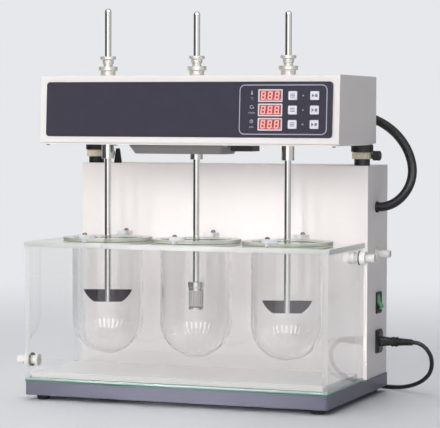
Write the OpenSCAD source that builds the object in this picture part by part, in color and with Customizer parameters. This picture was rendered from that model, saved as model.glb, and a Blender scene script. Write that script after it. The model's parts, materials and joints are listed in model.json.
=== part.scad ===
// Dissolution tester with three stirring positions: a clear water bath on a tray, a column behind it,
// and a head that lifts on two posts and turns two paddles and a basket in round-bottomed vessels.
// Millimetres, +Z up, front towards -Y, origin on the floor under the middle of the base.

/* [Base] */
// Width of the base tray
base_w = 478; // [470:1:500]
// Depth of the base tray from front to back
base_d = 313; // [306:1:340]
// Height of the base tray
base_h = 20.5; // [16:0.5:30]
// Corner radius of the base tray
base_r = 4; // [2.5:0.5:8]
// Sheet thickness of the painted housings
sheet_t = 1.5; // [1:0.1:2]
// Width of the rim folded under the base tray
base_rim_w = 42; // [36:1:60]
// Height of a rubber foot
foot_h = 8; // [7.5:0.5:14]
// Diameter of a rubber foot where it meets the floor
foot_d = 18; // [14:1:22]
// Flare of a rubber foot from the floor up to the tray
foot_flare = 4; // [0:0.5:6]
// Distance from a foot's centre to the edges of the base
foot_inset = 21; // [16:1:28]

/* [Water bath] */
// Depth of the bath from front to back
bath_d = 178; // [174:1:190]
// Height of the bath walls
bath_h = 197.5; // [190:0.5:215]
// Thickness of the acrylic walls and floor
bath_wall_t = 8; // [5:0.5:10]
// Thickness of the glass plate under the bath
glass_t = 5.5; // [4:0.5:10]
// Thickness of the plate that carries the vessels
plate_t = 7.5; // [5:0.5:12]
// Overhang of the vessel plate past each side of the bath
plate_overhang = 1.5; // [0.5:0.5:4]

/* [Vessels] */
// Distance between neighbouring stirring axes
pitch = 145; // [141:1:152]
// Distance from the bath's front face to the stirring axes
axis_setback = 96.5; // [90:0.5:98]
// Outer diameter of a glass vessel
vessel_d = 108; // [100:1:114]
// Glass thickness of a vessel
vessel_wall = 3; // [2:0.5:4]
// Depth of a vessel below its flange
vessel_h = 173.5; // [160:0.5:180]
// Diameter of a vessel's flange
flange_d = 136; // [126:1:138]
// Thickness of a vessel's flange
flange_t = 5; // [3:0.5:8]
// Gap between a vessel and its hole in the plate
vessel_gap = 2; // [1:0.5:4]

/* [Vessel clamps] */
// Diameter of an eccentric clamp
clamp_d = 24; // [22:1:28]
// Thickness of an eccentric clamp
clamp_t = 6; // [4:0.5:10]
// Distance of a clamp's screw from the clamp's centre
clamp_offset = 7.5; // [5:0.5:8]
// Diameter of the foot under a clamp, round its screw
clamp_foot_d = 8; // [7:0.5:10]
// Gap between a clamp's foot and the vessel's flange
clamp_gap = 0.5; // [0.4:0.1:2]
// Direction of the front clamps from the stirring axis, in degrees
clamp_front_angle = 265; // [255:1:280]
// Direction of the rear clamps from the stirring axis, in degrees
clamp_rear_angle = 90; // [80:1:100]
// Diameter of a clamp screw
clamp_screw_d = 4; // [3:0.5:5]
// Diameter of a clamp screw's dome head
clamp_dome_d = 7.5; // [6:0.5:9]
// Height of the straight rim under a clamp screw's dome
clamp_dome_rim = 1; // [0.5:0.1:2]
// Depth of a clamp screw in the vessel plate
clamp_screw_bite = 4.5; // [3:0.5:4.5]

/* [Column] */
// Inset of the column from each side of the base
column_inset = 2.5; // [1:0.5:6]
// Gap between the bath and the column
bath_gap = 27.5; // [20:0.5:32]
// Height of the column
column_h = 325.5; // [310:0.5:345]
// Diameter of the buffer on top of the column, at its foot
buffer_d = 13; // [9:0.5:14]
// Height of the buffer
buffer_h = 23; // [18:0.5:26]
// Distance of the buffer from the left post
buffer_offset = 37; // [36:0.5:46]

/* [Lift] */
// Distance from the column's side to a lift post
post_inset = 15.5; // [15.5:0.5:22]
// Distance from the column's front face to the posts
post_setback = 20; // [17:0.5:26]
// Diameter of a lift post
post_d = 17; // [14:0.5:18]
// Upward travel of the head
lift_travel = 115; // [100:1:120]
// Wall of a guide bush below the column's top
bush_wall = 2.5; // [2:0.5:3]
// Diameter of a guide bush's flange
bush_flange_d = 24; // [23.5:0.5:30]
// Height of a guide bush's flange above the column
bush_flange_h = 10; // [6:0.5:14]
// Length of a guide bush inside the column
bush_len = 80; // [60:1:100]
// Diameter of a lock collar
collar_d = 31; // [26:0.5:31]
// Height of a lock collar
collar_h = 10.5; // [9:0.5:14]
// Diameter of the flange between a post and the head
post_flange_d = 34; // [28:0.5:34]
// Height of the flange between a post and the head
post_flange_h = 10.5; // [6:0.5:14]
// Diameter of the stop ring at a post's lower end
stop_d = 22; // [20:0.5:28]
// Height of the stop ring
stop_h = 5; // [3:0.5:8]
// Diameter of a lock knob
knob_d = 15; // [12:0.5:17]
// Length of a lock knob's grip
knob_len = 11.5; // [10:0.5:18]
// Length of a lock knob's neck between collar and grip
knob_neck_len = 2; // [1.5:0.5:4]
// Diameter of a lock knob's screw
knob_screw_d = 5; // [4:0.5:6]
// Number of flutes round a lock knob
knob_flutes = 10; // [6:1:14]

/* [Head] */
// Overhang of the head past each side of the column
head_overhang = 1.5; // [1:0.5:6]
// Height of the head
head_h = 102; // [98:1:112]
// Distance from the stirring axes to the head's front face, at its lower edge
head_front_reach = 45.5; // [42:0.5:60]
// Distance from the posts to the head's rear face
head_rear_reach = 17; // [17:0.5:28]
// Backward lean of the head's front face over its height
head_lean = 5.6; // [2:0.2:8]
// Radius of the head's long edges
head_r = 3; // [2.5:0.5:6]
// Thickness of the plate that closes the head underneath
head_plate_t = 2; // [1.5:0.5:4]
// Inset of that plate from the head's sides
head_plate_inset = 4; // [2:0.5:8]
// Width of the rim folded under the head
head_rim_w = 12; // [10:1:14]

/* [Control panel] */
// Width of the front panel
panel_w = 455; // [440:1:464]
// Height of the front panel
panel_h = 82; // [78:1:86]
// Thickness of the front panel
panel_t = 2; // [1.5:0.1:3]
// Corner radius of the front panel
panel_r = 5; // [2:0.5:8]
// Height of the panel's lower edge above the head's lower edge
panel_rise = 10; // [8:0.5:12]
// Distance of the displays from the head's middle
display_x = 132.5; // [125:0.5:136]
// Width of a display window
display_w = 36.5; // [30:0.5:40]
// Height of a display window
display_h = 17.5; // [14:0.5:19]
// Height of the lowest row of keys and displays above the head's lower edge
row_rise = 29.5; // [27:0.5:32]
// Distance between rows of keys and displays
row_pitch = 21; // [20:0.5:22]
// Distance of the first key column from the head's middle
key_x1 = 167; // [164:0.5:172]
// Distance of the second key column from the head's middle
key_x2 = 200.5; // [194:0.5:206]
// Width of a key
key_w = 13.5; // [11:0.5:15]
// Height of a key
key_h = 12.8; // [11:0.1:15]
// Height of a key above the panel
key_proud = 1; // [0.9:0.1:2]

/* [Drive] */
// Outer diameter of a spindle
spindle_d = 19; // [18:0.5:21]
// Length of a spindle below the head's bottom plate
spindle_drop = 22; // [18:1:28]
// Diameter of a spindle's bearing housing
housing_d = 30; // [27:1:34]
// Height of a spindle's bearing housing
housing_h = 42; // [34:1:44]
// Diameter of a bearing housing's foot
housing_foot_d = 42; // [38:1:48]
// Thickness of a bearing housing's foot
housing_foot_t = 4; // [3:0.5:6]
// Height of the bearing under the head's top
top_bearing_h = 9; // [6:0.5:12]
// Diameter of the gear motor round the middle spindle
motor_d = 72; // [60:1:74]
// Height of the gear motor
motor_h = 42; // [34:1:44]
// Diameter of a drive pulley
pulley_d = 40; // [34:1:46]
// Width of a drive belt
belt_w = 8; // [6:0.5:9]
// Thickness of a drive belt
belt_t = 2; // [1.5:0.1:3]
// Distance between the two belts
belt_gap = 4; // [3:0.5:5]
// Width of the drive pan under the head
pan_w = 162; // [140:1:170]
// Depth of the drive pan from front to back
pan_d = 66; // [56:1:74]
// Height of the drive pan
pan_h = 13.5; // [10:0.5:16]
// Corner radius of the drive pan
pan_r = 14; // [8:1:20]
// Inward slope of the drive pan's walls towards its floor
pan_slope = 7; // [4:0.5:9]
// Distance of the drive pan's middle to the left of the middle spindle
pan_shift = 19.5; // [16:0.5:30]
// Width of the motor's terminal box
terminal_w = 33; // [26:1:40]
// Height of the motor's terminal box
terminal_h = 9; // [6:0.5:10]

/* [Stirrers] */
// Diameter of a stirrer shaft
shaft_d = 10; // [8:0.1:10.5]
// Length of a paddle shaft
shaft_len = 448; // [440:1:470]
// Height of the right paddle above the vessel's floor, as set
stir_height = 68; // [60:0.5:80]
// Height of the left paddle above the right one
left_raise = 7.5; // [0:0.5:12]
// Height of the basket above the right paddle
middle_raise = 1; // [0:0.5:12]
// Width of a paddle blade along its top
paddle_top_w = 74.5; // [70:0.5:78]
// Width of a paddle blade along its bottom
paddle_bottom_w = 42; // [38:0.5:50]
// Height of a paddle blade
paddle_h = 19; // [16:0.5:24]
// Thickness of a paddle blade
paddle_t = 4; // [3:0.1:5]
// Turn of the paddle blades about their shafts, in degrees
paddle_angle = 19; // [0:1:90]
// Diameter of the basket's hub
hub_d = 25.5; // [24:0.5:30]
// Height of the basket's hub
hub_h = 9; // [6:0.5:14]
// Outer diameter of the basket
basket_d = 22.5; // [20:0.5:23.5]
// Height of the basket
basket_h = 33; // [28:0.5:40]
// Wall of the basket
basket_wall = 0.9; // [0.6:0.1:1.2]
// Height of the plain rims of the basket
basket_rim_h = 4; // [3:0.5:6]
// Columns of openings round the basket
basket_columns = 14; // [8:2:18]
// Rows of openings up the basket
basket_rows = 4; // [2:1:5]
// Width of the wires between the basket's openings
basket_wire = 1.4; // [1:0.1:2]

/* [Chucks] */
// Height of a spindle above the head, up to its ring
spindle_rise = 7.5; // [4:0.5:12]
// Diameter of a spindle's shoulder above the head
shoulder_d = 22.5; // [21.5:0.5:25.5]
// Diameter of a spindle's ring
ring_d = 29; // [26:0.5:32]
// Height of a spindle's ring
ring_h = 6.5; // [4:0.5:9]
// Diameter of a spindle's threaded nose
nose_d = 14; // [13:0.1:14.5]
// Length of the bare nose below the chuck nut
nose_bare = 4.5; // [2:0.5:8]
// Diameter of a chuck nut's body
nut_d = 17; // [16.5:0.5:19]
// Height of a chuck nut's body
nut_h = 6; // [4:0.5:9]
// Diameter of a chuck nut's cap
cap_d = 24; // [21:0.5:28]
// Height of a chuck nut's cap
cap_h = 5; // [4:0.5:8]
// Chamfer on the turned rings
turned_chamfer = 0.8; // [0.3:0.1:1.2]

/* [Water spigots] */
// Outer diameter of a hose spigot
spigot_d = 12; // [10:0.5:13]
// Bore of a hose spigot
spigot_bore = 8; // [6:0.5:9]
// Length of a bath spigot
spigot_len = 14; // [10:0.5:20]
// Diameter of a bath spigot's flange
spigot_flange_d = 20; // [18:0.5:22]
// Thickness of a bath spigot's flange
spigot_flange_t = 9; // [5:0.5:10]
// Diameter of a spigot's thread through the wall
thread_d = 13.5; // [13.2:0.1:14.5]
// Diameter of a spigot's nut
spigot_nut_d = 18; // [17:0.5:21]
// Height of the upper spigot's nut
spigot_nut_h = 11; // [6:0.5:12]
// Height of the lower spigot's nut
drain_nut_h = 3.5; // [2.5:0.5:8]
// Thickness of a spigot's gasket
gasket_t = 1.2; // [0.8:0.1:2]
// Distance of the upper spigot from the bath's rear face
inlet_setback = 23; // [20:0.5:30]
// Distance of the upper spigot below the bath's top
inlet_drop = 14; // [13:0.5:20]
// Distance of the lower spigot from the bath's front face
drain_setback = 26.5; // [20:0.5:34]
// Height of the lower spigot above the glass plate
drain_rise = 24.5; // [21:0.5:34]
// Length of the column's spigot
column_spigot_len = 18; // [12:0.5:20]
// Thickness of the column spigot's flange
column_flange_t = 5; // [3:0.5:7]
// Height of the column's spigot above the base
column_spigot_rise = 190; // [175:1:205]
// Distance of the column's spigot and cable gland from the column's front face
side_setback = 46; // [40:0.5:56]
// Diameter of the water heater in the column
heater_d = 60; // [50:1:66]
// Height of the water heater
heater_h = 150; // [120:1:180]

/* [Power entry] */
// Distance of the switch and the inlet from the column's rear face
power_setback = 48.5; // [44:0.5:56]
// Height of the switch above the base
switch_rise = 113.5; // [105:0.5:125]
// Width of the switch's bezel
bezel_w = 26.5; // [25:0.5:34]
// Height of the switch's bezel
bezel_h = 33; // [32.5:0.5:40]
// Thickness of the switch's bezel
bezel_t = 2.5; // [1.5:0.1:4]
// Width of the rocker
rocker_w = 20; // [18:0.5:21]
// Radius of the rocker's ends about its pivot
rocker_r = 13.2; // [12.5:0.1:14.2]
// Tilt of the rocker in its switched-on position, in degrees
rocker_tilt = 16; // [8:1:18]
// Height of the inlet above the base
inlet_rise = 53.5; // [45:0.5:60]
// Width of the inlet's flange
inlet_w = 28.5; // [28:0.5:36]
// Height of the inlet's flange
inlet_h = 36.5; // [36:0.5:46]
// Thickness of the inlet's flange
inlet_t = 3; // [2:0.5:5]

/* [Cable and lead] */
// Diameter of the cable between column and head
cable_d = 14; // [10:0.5:15]
// Diameter of the mains lead
lead_d = 6.5; // [5:0.5:6.5]
// Diameter of a cable gland
gland_d = 17; // [16.5:0.5:24]
// Length of a cable gland
gland_len = 3; // [2:0.5:12]

/* [Hidden] */
$fn = 48;

// Clearances
run_fit = 0.05;
seat_gap = 0.3;
slip_gap = 0.2;
overcut = 1;
glue_line = 0.1;

// Levels, from the floor up
base_top = foot_h + base_h;
glass_top = base_top + glass_t;
bath_top = glass_top + bath_h;
plate_top = bath_top + plate_t;
flange_top = plate_top + flange_t;
vessel_z0 = plate_top - vessel_h;
vessel_floor = vessel_z0 + vessel_wall;
clamp_z0 = plate_top + seat_gap;
clamp_disc_z = flange_top + seat_gap;
clamp_top = clamp_disc_z + clamp_t;
column_top = base_top + column_h;
bush_z0 = column_top - bush_len;
collar_z = column_top + bush_flange_h;
collar_top = collar_z + collar_h;
post_flange_z = collar_top + seat_gap;
head_plate_z = post_flange_z + post_flange_h;
head_z0 = head_plate_z + head_plate_t;
head_z1 = head_z0 + head_h;

// Places from front to back
bath_y0 = -base_d / 2;
bath_y1 = bath_y0 + bath_d;
bath_mid_y = (bath_y0 + bath_y1) / 2;
axis_y = bath_y0 + axis_setback;
column_y0 = bath_y1 + bath_gap;
column_y1 = base_d / 2;
column_d = column_y1 - column_y0;
post_y = column_y0 + post_setback;
side_y = column_y0 + side_setback;
power_y = column_y1 - power_setback;
head_y0 = axis_y - head_front_reach;
head_y1 = post_y + head_rear_reach;

// Widths and places from side to side
bath_w = base_w;
plate_w = bath_w + 2 * plate_overhang;
column_w = base_w - 2 * column_inset;
post_x = column_w / 2 - post_inset;
head_w = column_w + 2 * head_overhang;
axis_xs = [-pitch, 0, pitch];

// Flutes and end cap of a lock knob
knob_flute_d = 3;
knob_cap_h = 1;
knob_cap_d = knob_d - knob_flute_d;

// Clamps
clamp_reach = flange_d / 2 + clamp_gap + clamp_foot_d / 2;
clamp_angles = [clamp_front_angle, clamp_rear_angle];

// Posts reach down to a ring that meets the bush at the end of the travel
post_z0 = bush_z0 - lift_travel - seat_gap - stop_h;

// Drive levels inside the head
lower_belt_z = head_z0 + motor_h + belt_gap;
upper_belt_z = lower_belt_z + belt_w + belt_gap;
belt_loop_r = pulley_d / 2 + seat_gap;
pulley_h = belt_w + belt_gap / 2;
spindle_z0 = head_plate_z - spindle_drop;
spindle_pass_d = spindle_d + 4 * seat_gap;
shoulder_z = head_z1 + seat_gap;
ring_z = head_z1 + spindle_rise;
nose_z = ring_z + ring_h;
nut_z = nose_z + nose_bare;
cap_z = nut_z + nut_h;
nose_end = cap_z + seat_gap;

// Stirrers: each shaft ends level with the foot of its blade
right_z = vessel_floor + stir_height;
left_z = right_z + left_raise;
basket_z = right_z + middle_raise;
hub_z = basket_z + basket_h;
middle_shaft_len = shaft_len - basket_h;
blade_centre = (pow(paddle_top_w / 2, 2) + pow(paddle_h, 2) - pow(paddle_bottom_w / 2, 2)) / (2 * paddle_h);
blade_r = norm([paddle_bottom_w / 2, blade_centre]);

// Front face of the head, and the opening behind its keys and displays
head_lean_angle = atan(head_lean / head_h);
rows = [for (i = [0:2]) row_rise + i * row_pitch];
control_margin = 4;
control_x0 = display_x - display_w / 2 - control_margin;
control_x1 = key_x2 + key_w / 2 + control_margin;
control_z0 = row_rise - display_h / 2 - control_margin;
control_z1 = rows[2] + display_h / 2 + control_margin;
key_lip = 1.2;
key_lip_t = 1.2;
key_r = 1.5;

// Switch, inlet and plug
bezel_r = 2;
switch_body_d = 16;
switch_body_margin = 1;
rocker_pivot_z = -4;
rocker_face_z = 5;
rocker_dip = 3;
rocker_back_z = -8;
inlet_r = 3;
inlet_body_w = 25;
inlet_body_h = 33;
inlet_body_d = 23;
plug_nose = [18, 26, 17.5];
plug_head = [23, 31, 2];
plug_grip = [17, 15, 18.5];
plug_waist = [14, 11.5];
plug_collar = [15.5, 13, 8];
plug_r = 4;
relief_len = 24.5;
relief_d = 11;
relief_wall = 1;

// Route of the mains lead: out of the plug, down in a loop, along the floor behind the base
lead_route = [
    [292.5, 108, 82], [300.3, 108.3, 81.2], [307, 109.2, 78.2], [312.4, 110.7, 73.4], [316.6, 112.5, 67.4],
    [319.2, 114.7, 60.6], [320, 117.1, 53.2], [319.2, 120.3, 45.3], [316.6, 124, 37.6], [312, 128.2, 30.4],
    [305.2, 133.2, 23.8], [296.2, 138.8, 17.6], [285, 145.3, 12.2], [271.8, 152.8, 7.9], [257, 161, 4.9],
    [240.5, 169.8, 3.6], [223.5, 178, 3.3], [205, 184.6, 3.3], [184, 189, 3.3], [160, 191, 3.3],
    [130, 191, 3.3], [98, 191, 3.3], [66, 191, 3.3], [48, 191, 3.3], [38, 191, 3.3]
];

// The rest of the lead is wound in two layers behind the column, and ends in the wall plug
coil_centre = [38, 235];
coil_r = 44;
coil_step = 7.2;
coil_layer = 7.1;
coil_layer_turns = 2;
coil_rings = 24;
coil_low = 3.3;
coil_tail = [[48, 279, 10.2], [62, 279, 8], [76, 279, 5.6], [90, 279, 5], [104, 279, 5], [118, 279, 5]];
wall_plug_size = [38, 30, 10];
wall_plug_r = 4;
wall_relief_len = 12;
wall_relief_d = 10;
pin_size = [16, 6.3, 1.6];
pin_spread = 7;
pin_angle = 30;

// Route of the cable from the column's side up to the rear of the head
cable_route = [
    [239.5, 95, 290], [251.5, 95.1, 291.3], [263.3, 95.9, 295.9], [274.2, 97.5, 304], [282.6, 100, 314.7],
    [287.8, 103.5, 327.1], [289.5, 107.7, 340], [287.8, 112.5, 353.3], [283, 118, 366.5],
    [275.7, 123.5, 379.6], [266, 128.5, 392], [254, 133, 403.5], [239.5, 136.5, 413.8], [223.5, 138.6, 422],
    [207.5, 139.2, 428], [192.5, 138.4, 431.3], [179, 136, 432.3], [167, 131.6, 432.3],
    [156.6, 124.2, 432.3], [148.7, 114, 432.3], [143.9, 102, 432.3], [142, 89, 432.3]
];
head_gland_x = 142;
head_gland_rise = 46.5;
head_gland_z = head_z0 + head_gland_rise;
column_gland_rise = 261.5;
column_gland_z = base_top + column_gland_rise;

// Mouths of the glands and of the mains plug
column_mouth = [column_w / 2 + gland_len, side_y, column_gland_z];
head_mouth = [head_gland_x, head_y1 + gland_len, head_gland_z];
plug_mouth = [
    column_w / 2 + inlet_t + plug_head[2] + plug_grip[2] + plug_collar[2] + relief_len,
    power_y, base_top + inlet_rise
];

// A route moved so that its ends meet the mouths they start and finish at
function fitted(route, start, finish) =
    let (last = len(route) - 1, a = start - route[0], b = finish - route[last])
    [for (i = [0:last]) route[i] + a * (last - i) / last + b * i / last];
cable_path = fitted(cable_route, column_mouth, head_mouth);
lead_path = smooth(fitted(lead_route, plug_mouth, lead_route[len(lead_route) - 1]), 2);

// Plain shapes

module rounded_rect(w, d, r) {
    square([w - 2 * r, d], center = true);
    square([w, d - 2 * r], center = true);
    for (x = [-1, 1], y = [-1, 1])
        translate([x * (w / 2 - r), y * (d / 2 - r)]) circle(r);
}

module ring(d, bore, h) {
    difference() {
        cylinder(d = d, h = h);
        translate([0, 0, -overcut]) cylinder(d = bore, h = h + 2 * overcut);
    }
}

// A turned disc with both rims chamfered
module turned_disc(d, h) {
    c = turned_chamfer;
    rotate_extrude() polygon([
        [0, 0], [d / 2 - c, 0], [d / 2, c], [d / 2, h - c], [d / 2 - c, h], [0, h]
    ]);
}

module extrude_x(w) rotate([90, 0, 90]) linear_extrude(height = w, center = true) children();

// Children drawn with X along +Y, Y up and Z out of the column's right side
module on_side(y, z) translate([column_w / 2, y, z]) rotate([90, 0, 90]) children();

// Children drawn with X to the right, Y up the head's front face and Z out of it
module on_front() translate([0, head_y0, head_z0]) rotate([90 - head_lean_angle, 0, 0]) children();

// Points and faces of a tube swept along a path

function unit(v) = v / norm(v);
function along(path, i) = unit(path[min(i + 1, len(path) - 1)] - path[max(i - 1, 0)]);
function square_to(v, t) = unit(v - (v * t) * t);
function normals(path) = [
    for (i = 0, n = square_to([0, 1, 0.3], along(path, 0)); i < len(path);
         i = i + 1, n = i < len(path) ? square_to(n, along(path, i)) : n) n
];
function rounded(p, i, s) =
    let (a = p[max(i - 1, 0)], b = p[i], c = p[i + 1], d = p[min(i + 2, len(p) - 1)])
    0.5 * (2 * b + (c - a) * s + (2 * a - 5 * b + 4 * c - d) * s * s + (3 * b - a - 3 * c + d) * s * s * s);
function smooth(p, steps) = concat(
    [for (i = [0:len(p) - 2], k = [0:steps - 1]) rounded(p, i, k / steps)], [p[len(p) - 1]]);

module swept_tube(path, d, sides) {
    across = normals(path);
    points = [
        for (i = [0:len(path) - 1], k = [0:sides - 1])
            let (t = along(path, i), n = across[i], b = cross(t, n), a = 360 * k / sides)
            path[i] + d / 2 * (cos(a) * n + sin(a) * b)
    ];
    last = (len(path) - 1) * sides;
    walls = [
        for (i = [0:len(path) - 2], k = [0:sides - 1])
            let (a = i * sides + k, b = i * sides + (k + 1) % sides)
            each [[a, a + sides, b], [b, a + sides, b + sides]]
    ];
    ends = [
        for (k = [1:sides - 2]) each [[0, k, k + 1], [last, last + k + 1, last + k]]
    ];
    polyhedron(points = points, faces = concat(walls, ends));
}

// Base and water bath

module base_tray() color("#6e7180") translate([0, 0, foot_h]) difference() {
    linear_extrude(base_h) rounded_rect(base_w, base_d, base_r);
    translate([0, 0, sheet_t]) linear_extrude(base_h - 2 * sheet_t)
        rounded_rect(base_w - 2 * sheet_t, base_d - 2 * sheet_t, base_r - sheet_t);
    translate([0, 0, -overcut]) linear_extrude(sheet_t + 2 * overcut)
        rounded_rect(base_w - 2 * base_rim_w, base_d - 2 * base_rim_w, base_r);
}

module feet() color("#1b1b1d")
    for (x = [-1, 1], y = [-1, 1])
        translate([x * (base_w / 2 - foot_inset), y * (base_d / 2 - foot_inset), 0])
            cylinder(d1 = foot_d, d2 = foot_d + foot_flare, h = foot_h);

module glass_plate() color("#9fd0b8")
    translate([-bath_w / 2, bath_y0, base_top]) cube([bath_w, bath_d, glass_t]);

module bath_tank() color("#e8eef2") {
    inner_w = bath_w - 2 * (bath_wall_t + glue_line);
    inner_d = bath_d - 2 * (bath_wall_t + glue_line);
    difference() {
        for (x = [-bath_w / 2, bath_w / 2 - bath_wall_t])
            translate([x, bath_y0, glass_top]) cube([bath_wall_t, bath_d, bath_h]);
        at_inlet() translate([0, 0, -bath_wall_t - overcut])
            cylinder(d = thread_d + 2 * run_fit, h = bath_wall_t + 2 * overcut);
        at_drain() translate([0, 0, -bath_wall_t - overcut])
            cylinder(d = thread_d + 2 * run_fit, h = bath_wall_t + 2 * overcut);
    }
    for (y = [bath_y0, bath_y1 - bath_wall_t])
        translate([-inner_w / 2, y, glass_top]) cube([inner_w, bath_wall_t, bath_h]);
    translate([-inner_w / 2, bath_y0 + bath_wall_t + glue_line, glass_top])
        cube([inner_w, inner_d, bath_wall_t]);
}

module vessel_plate() color("#e2ecea") difference() {
    translate([-plate_w / 2, bath_y0, bath_top]) cube([plate_w, bath_d, plate_t]);
    for (x = axis_xs) {
        translate([x, axis_y, bath_top - overcut])
            cylinder(d = vessel_d + 2 * vessel_gap, h = plate_t + 2 * overcut);
        for (a = clamp_angles)
            at_clamp(x, a) translate([0, 0, plate_top - clamp_screw_bite])
                cylinder(d = clamp_screw_d + 2 * run_fit, h = clamp_screw_bite + overcut);
    }
}

// Vessels: a straight glass wall, a half-round bottom and a flat flange

module vessel_outline(r, top) {
    intersection() {
        translate([0, vessel_z0 + vessel_d / 2]) circle(r);
        translate([0, vessel_z0]) square([vessel_d, vessel_d / 2]);
    }
    translate([0, vessel_z0 + vessel_d / 2]) square([r, top - vessel_z0 - vessel_d / 2]);
}

module vessel(x) color("#dfe9ea") translate([x, axis_y, 0]) rotate_extrude() difference() {
    union() {
        vessel_outline(vessel_d / 2, flange_top);
        translate([0, plate_top]) square([flange_d / 2, flange_t]);
    }
    vessel_outline(vessel_d / 2 - vessel_wall, flange_top + overcut);
}

// Vessel clamps: off-centre discs that turn on their screws onto the flange or clear of it

module at_clamp(x, a)
    translate([x + clamp_reach * cos(a), axis_y + clamp_reach * sin(a), 0]) rotate([0, 0, a]) children();

module clamp(x, a) color("#e6f0f2") at_clamp(x, a) difference() {
    union() {
        translate([0, 0, clamp_z0]) cylinder(d = clamp_foot_d, h = clamp_disc_z - clamp_z0);
        translate([-clamp_offset, 0, clamp_disc_z]) cylinder(d = clamp_d, h = clamp_t);
    }
    translate([0, 0, clamp_z0 - overcut])
        cylinder(d = clamp_screw_d + 2 * run_fit, h = clamp_top - clamp_z0 + 2 * overcut);
}

module clamp_screws() color("#c9ccd0")
    for (x = axis_xs, a = clamp_angles) at_clamp(x, a) {
        dome_z = clamp_top + slip_gap;
        dome_r = clamp_dome_d / 2;
        screw_z = plate_top - clamp_screw_bite;
        translate([0, 0, screw_z]) cylinder(d = clamp_screw_d, h = dome_z - screw_z);
        translate([0, 0, dome_z]) cylinder(d = clamp_dome_d, h = clamp_dome_rim);
        translate([0, 0, dome_z + clamp_dome_rim]) rotate_extrude() intersection() {
            translate([0, -dome_r / 2]) circle(norm([dome_r, dome_r / 2]));
            square(dome_r);
        }
    }

// Column and lift

module column_shell() color("#ece7e2") difference() {
    translate([-column_w / 2, column_y0, base_top]) cube([column_w, column_d - sheet_t, column_h]);
    translate([-column_w / 2 + sheet_t, column_y0 + sheet_t, base_top - overcut])
        cube([column_w - 2 * sheet_t, column_d, column_h - sheet_t + overcut]);
    for (x = [-post_x, post_x]) translate([x, post_y, column_top - sheet_t - overcut])
        cylinder(d = post_d + 2 * (bush_wall + run_fit), h = sheet_t + 2 * overcut);
    through_side(side_y, base_top + column_spigot_rise) circle(d = thread_d + 2 * run_fit);
    through_side(side_y, column_gland_z) circle(d = cable_d + 2 * slip_gap);
    through_side(power_y, base_top + switch_rise)
        square([switch_body_w() + 2 * slip_gap, switch_body_h() + 2 * slip_gap], center = true);
    through_side(power_y, base_top + inlet_rise)
        square([inlet_body_w + 2 * slip_gap, inlet_body_h + 2 * slip_gap], center = true);
}

module through_side(y, z) on_side(y, z) translate([0, 0, -sheet_t - overcut])
    linear_extrude(sheet_t + 2 * overcut) children();

module column_back_cover() color("#e4dfda")
    translate([-column_w / 2, column_y1 - sheet_t, base_top]) cube([column_w, sheet_t, column_h]);

module limit_buffer() color("#202022")
    translate([-post_x + buffer_offset, post_y, column_top])
        cylinder(d1 = buffer_d, d2 = buffer_d / 2, h = buffer_h);

module guide_bushes() color("#232326")
    for (x = [-post_x, post_x]) translate([x, post_y, 0]) difference() {
        union() {
            translate([0, 0, column_top]) cylinder(d = bush_flange_d, h = bush_flange_h);
            translate([0, 0, bush_z0]) cylinder(d = post_d + 2 * bush_wall, h = bush_len);
        }
        translate([0, 0, bush_z0 - overcut])
            cylinder(d = post_d + 2 * run_fit, h = bush_len + bush_flange_h + 2 * overcut);
    }

module lock_collars() color("#d8d2bd")
    for (x = [-post_x, post_x]) translate([x, post_y, collar_z]) difference() {
        ring(collar_d, post_d + 2 * run_fit, collar_h);
        translate([0, 0, collar_h / 2]) rotate([0, 90, 0])
            cylinder(d = knob_screw_d + 2 * run_fit, h = collar_d);
    }

module lock_knob(x) color("#1d1d1f") translate([x, post_y, collar_z + collar_h / 2]) rotate([0, 90, 0]) {
    screw_start = post_d / 2 + seat_gap;
    neck_start = collar_d / 2 + seat_gap;
    grip_start = neck_start + knob_neck_len;
    translate([0, 0, screw_start]) cylinder(d = knob_screw_d, h = grip_start - screw_start);
    translate([0, 0, neck_start]) cylinder(d = knob_d / 2, h = knob_neck_len);
    translate([0, 0, grip_start]) linear_extrude(knob_len - knob_cap_h) difference() {
        circle(d = knob_d);
        for (i = [1:knob_flutes]) rotate(360 * i / knob_flutes)
            translate([knob_d / 2 + knob_flute_d / 4, 0]) circle(d = knob_flute_d);
    }
    translate([0, 0, grip_start + knob_len - knob_cap_h]) cylinder(d = knob_cap_d, h = knob_cap_h);
}

module lift_posts() color("#2a2a2d")
    for (x = [-post_x, post_x]) translate([x, post_y, 0]) {
        translate([0, 0, post_z0]) cylinder(d = stop_d, h = stop_h);
        translate([0, 0, post_z0]) cylinder(d = post_d, h = head_plate_z - post_z0);
        translate([0, 0, post_flange_z]) cylinder(d = post_flange_d, h = post_flange_h);
    }

// Water spigots and heater

module at_inlet() translate([bath_w / 2, bath_y1 - inlet_setback, bath_top - inlet_drop])
    rotate([0, 90, 0]) children();
module at_drain() translate([-bath_w / 2, bath_y0 + drain_setback, glass_top + drain_rise])
    rotate([0, -90, 0]) children();

// One spigot with its nut, drawn along +Z from the outer face of the wall it passes through
module spigot(wall, gasket, flange_d, flange_t, len, nut_h) {
    difference() {
        union() {
            translate([0, 0, -wall - nut_h]) cylinder(d = thread_d, h = wall + nut_h + gasket);
            translate([0, 0, gasket]) cylinder(d = flange_d, h = flange_t);
            translate([0, 0, gasket]) cylinder(d = spigot_d, h = flange_t + len);
        }
        translate([0, 0, -wall - nut_h - overcut])
            cylinder(d = spigot_bore, h = wall + nut_h + gasket + flange_t + len + 2 * overcut);
    }
    translate([0, 0, -wall - nut_h]) ring(spigot_nut_d, thread_d + 2 * run_fit, nut_h);
}

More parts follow.
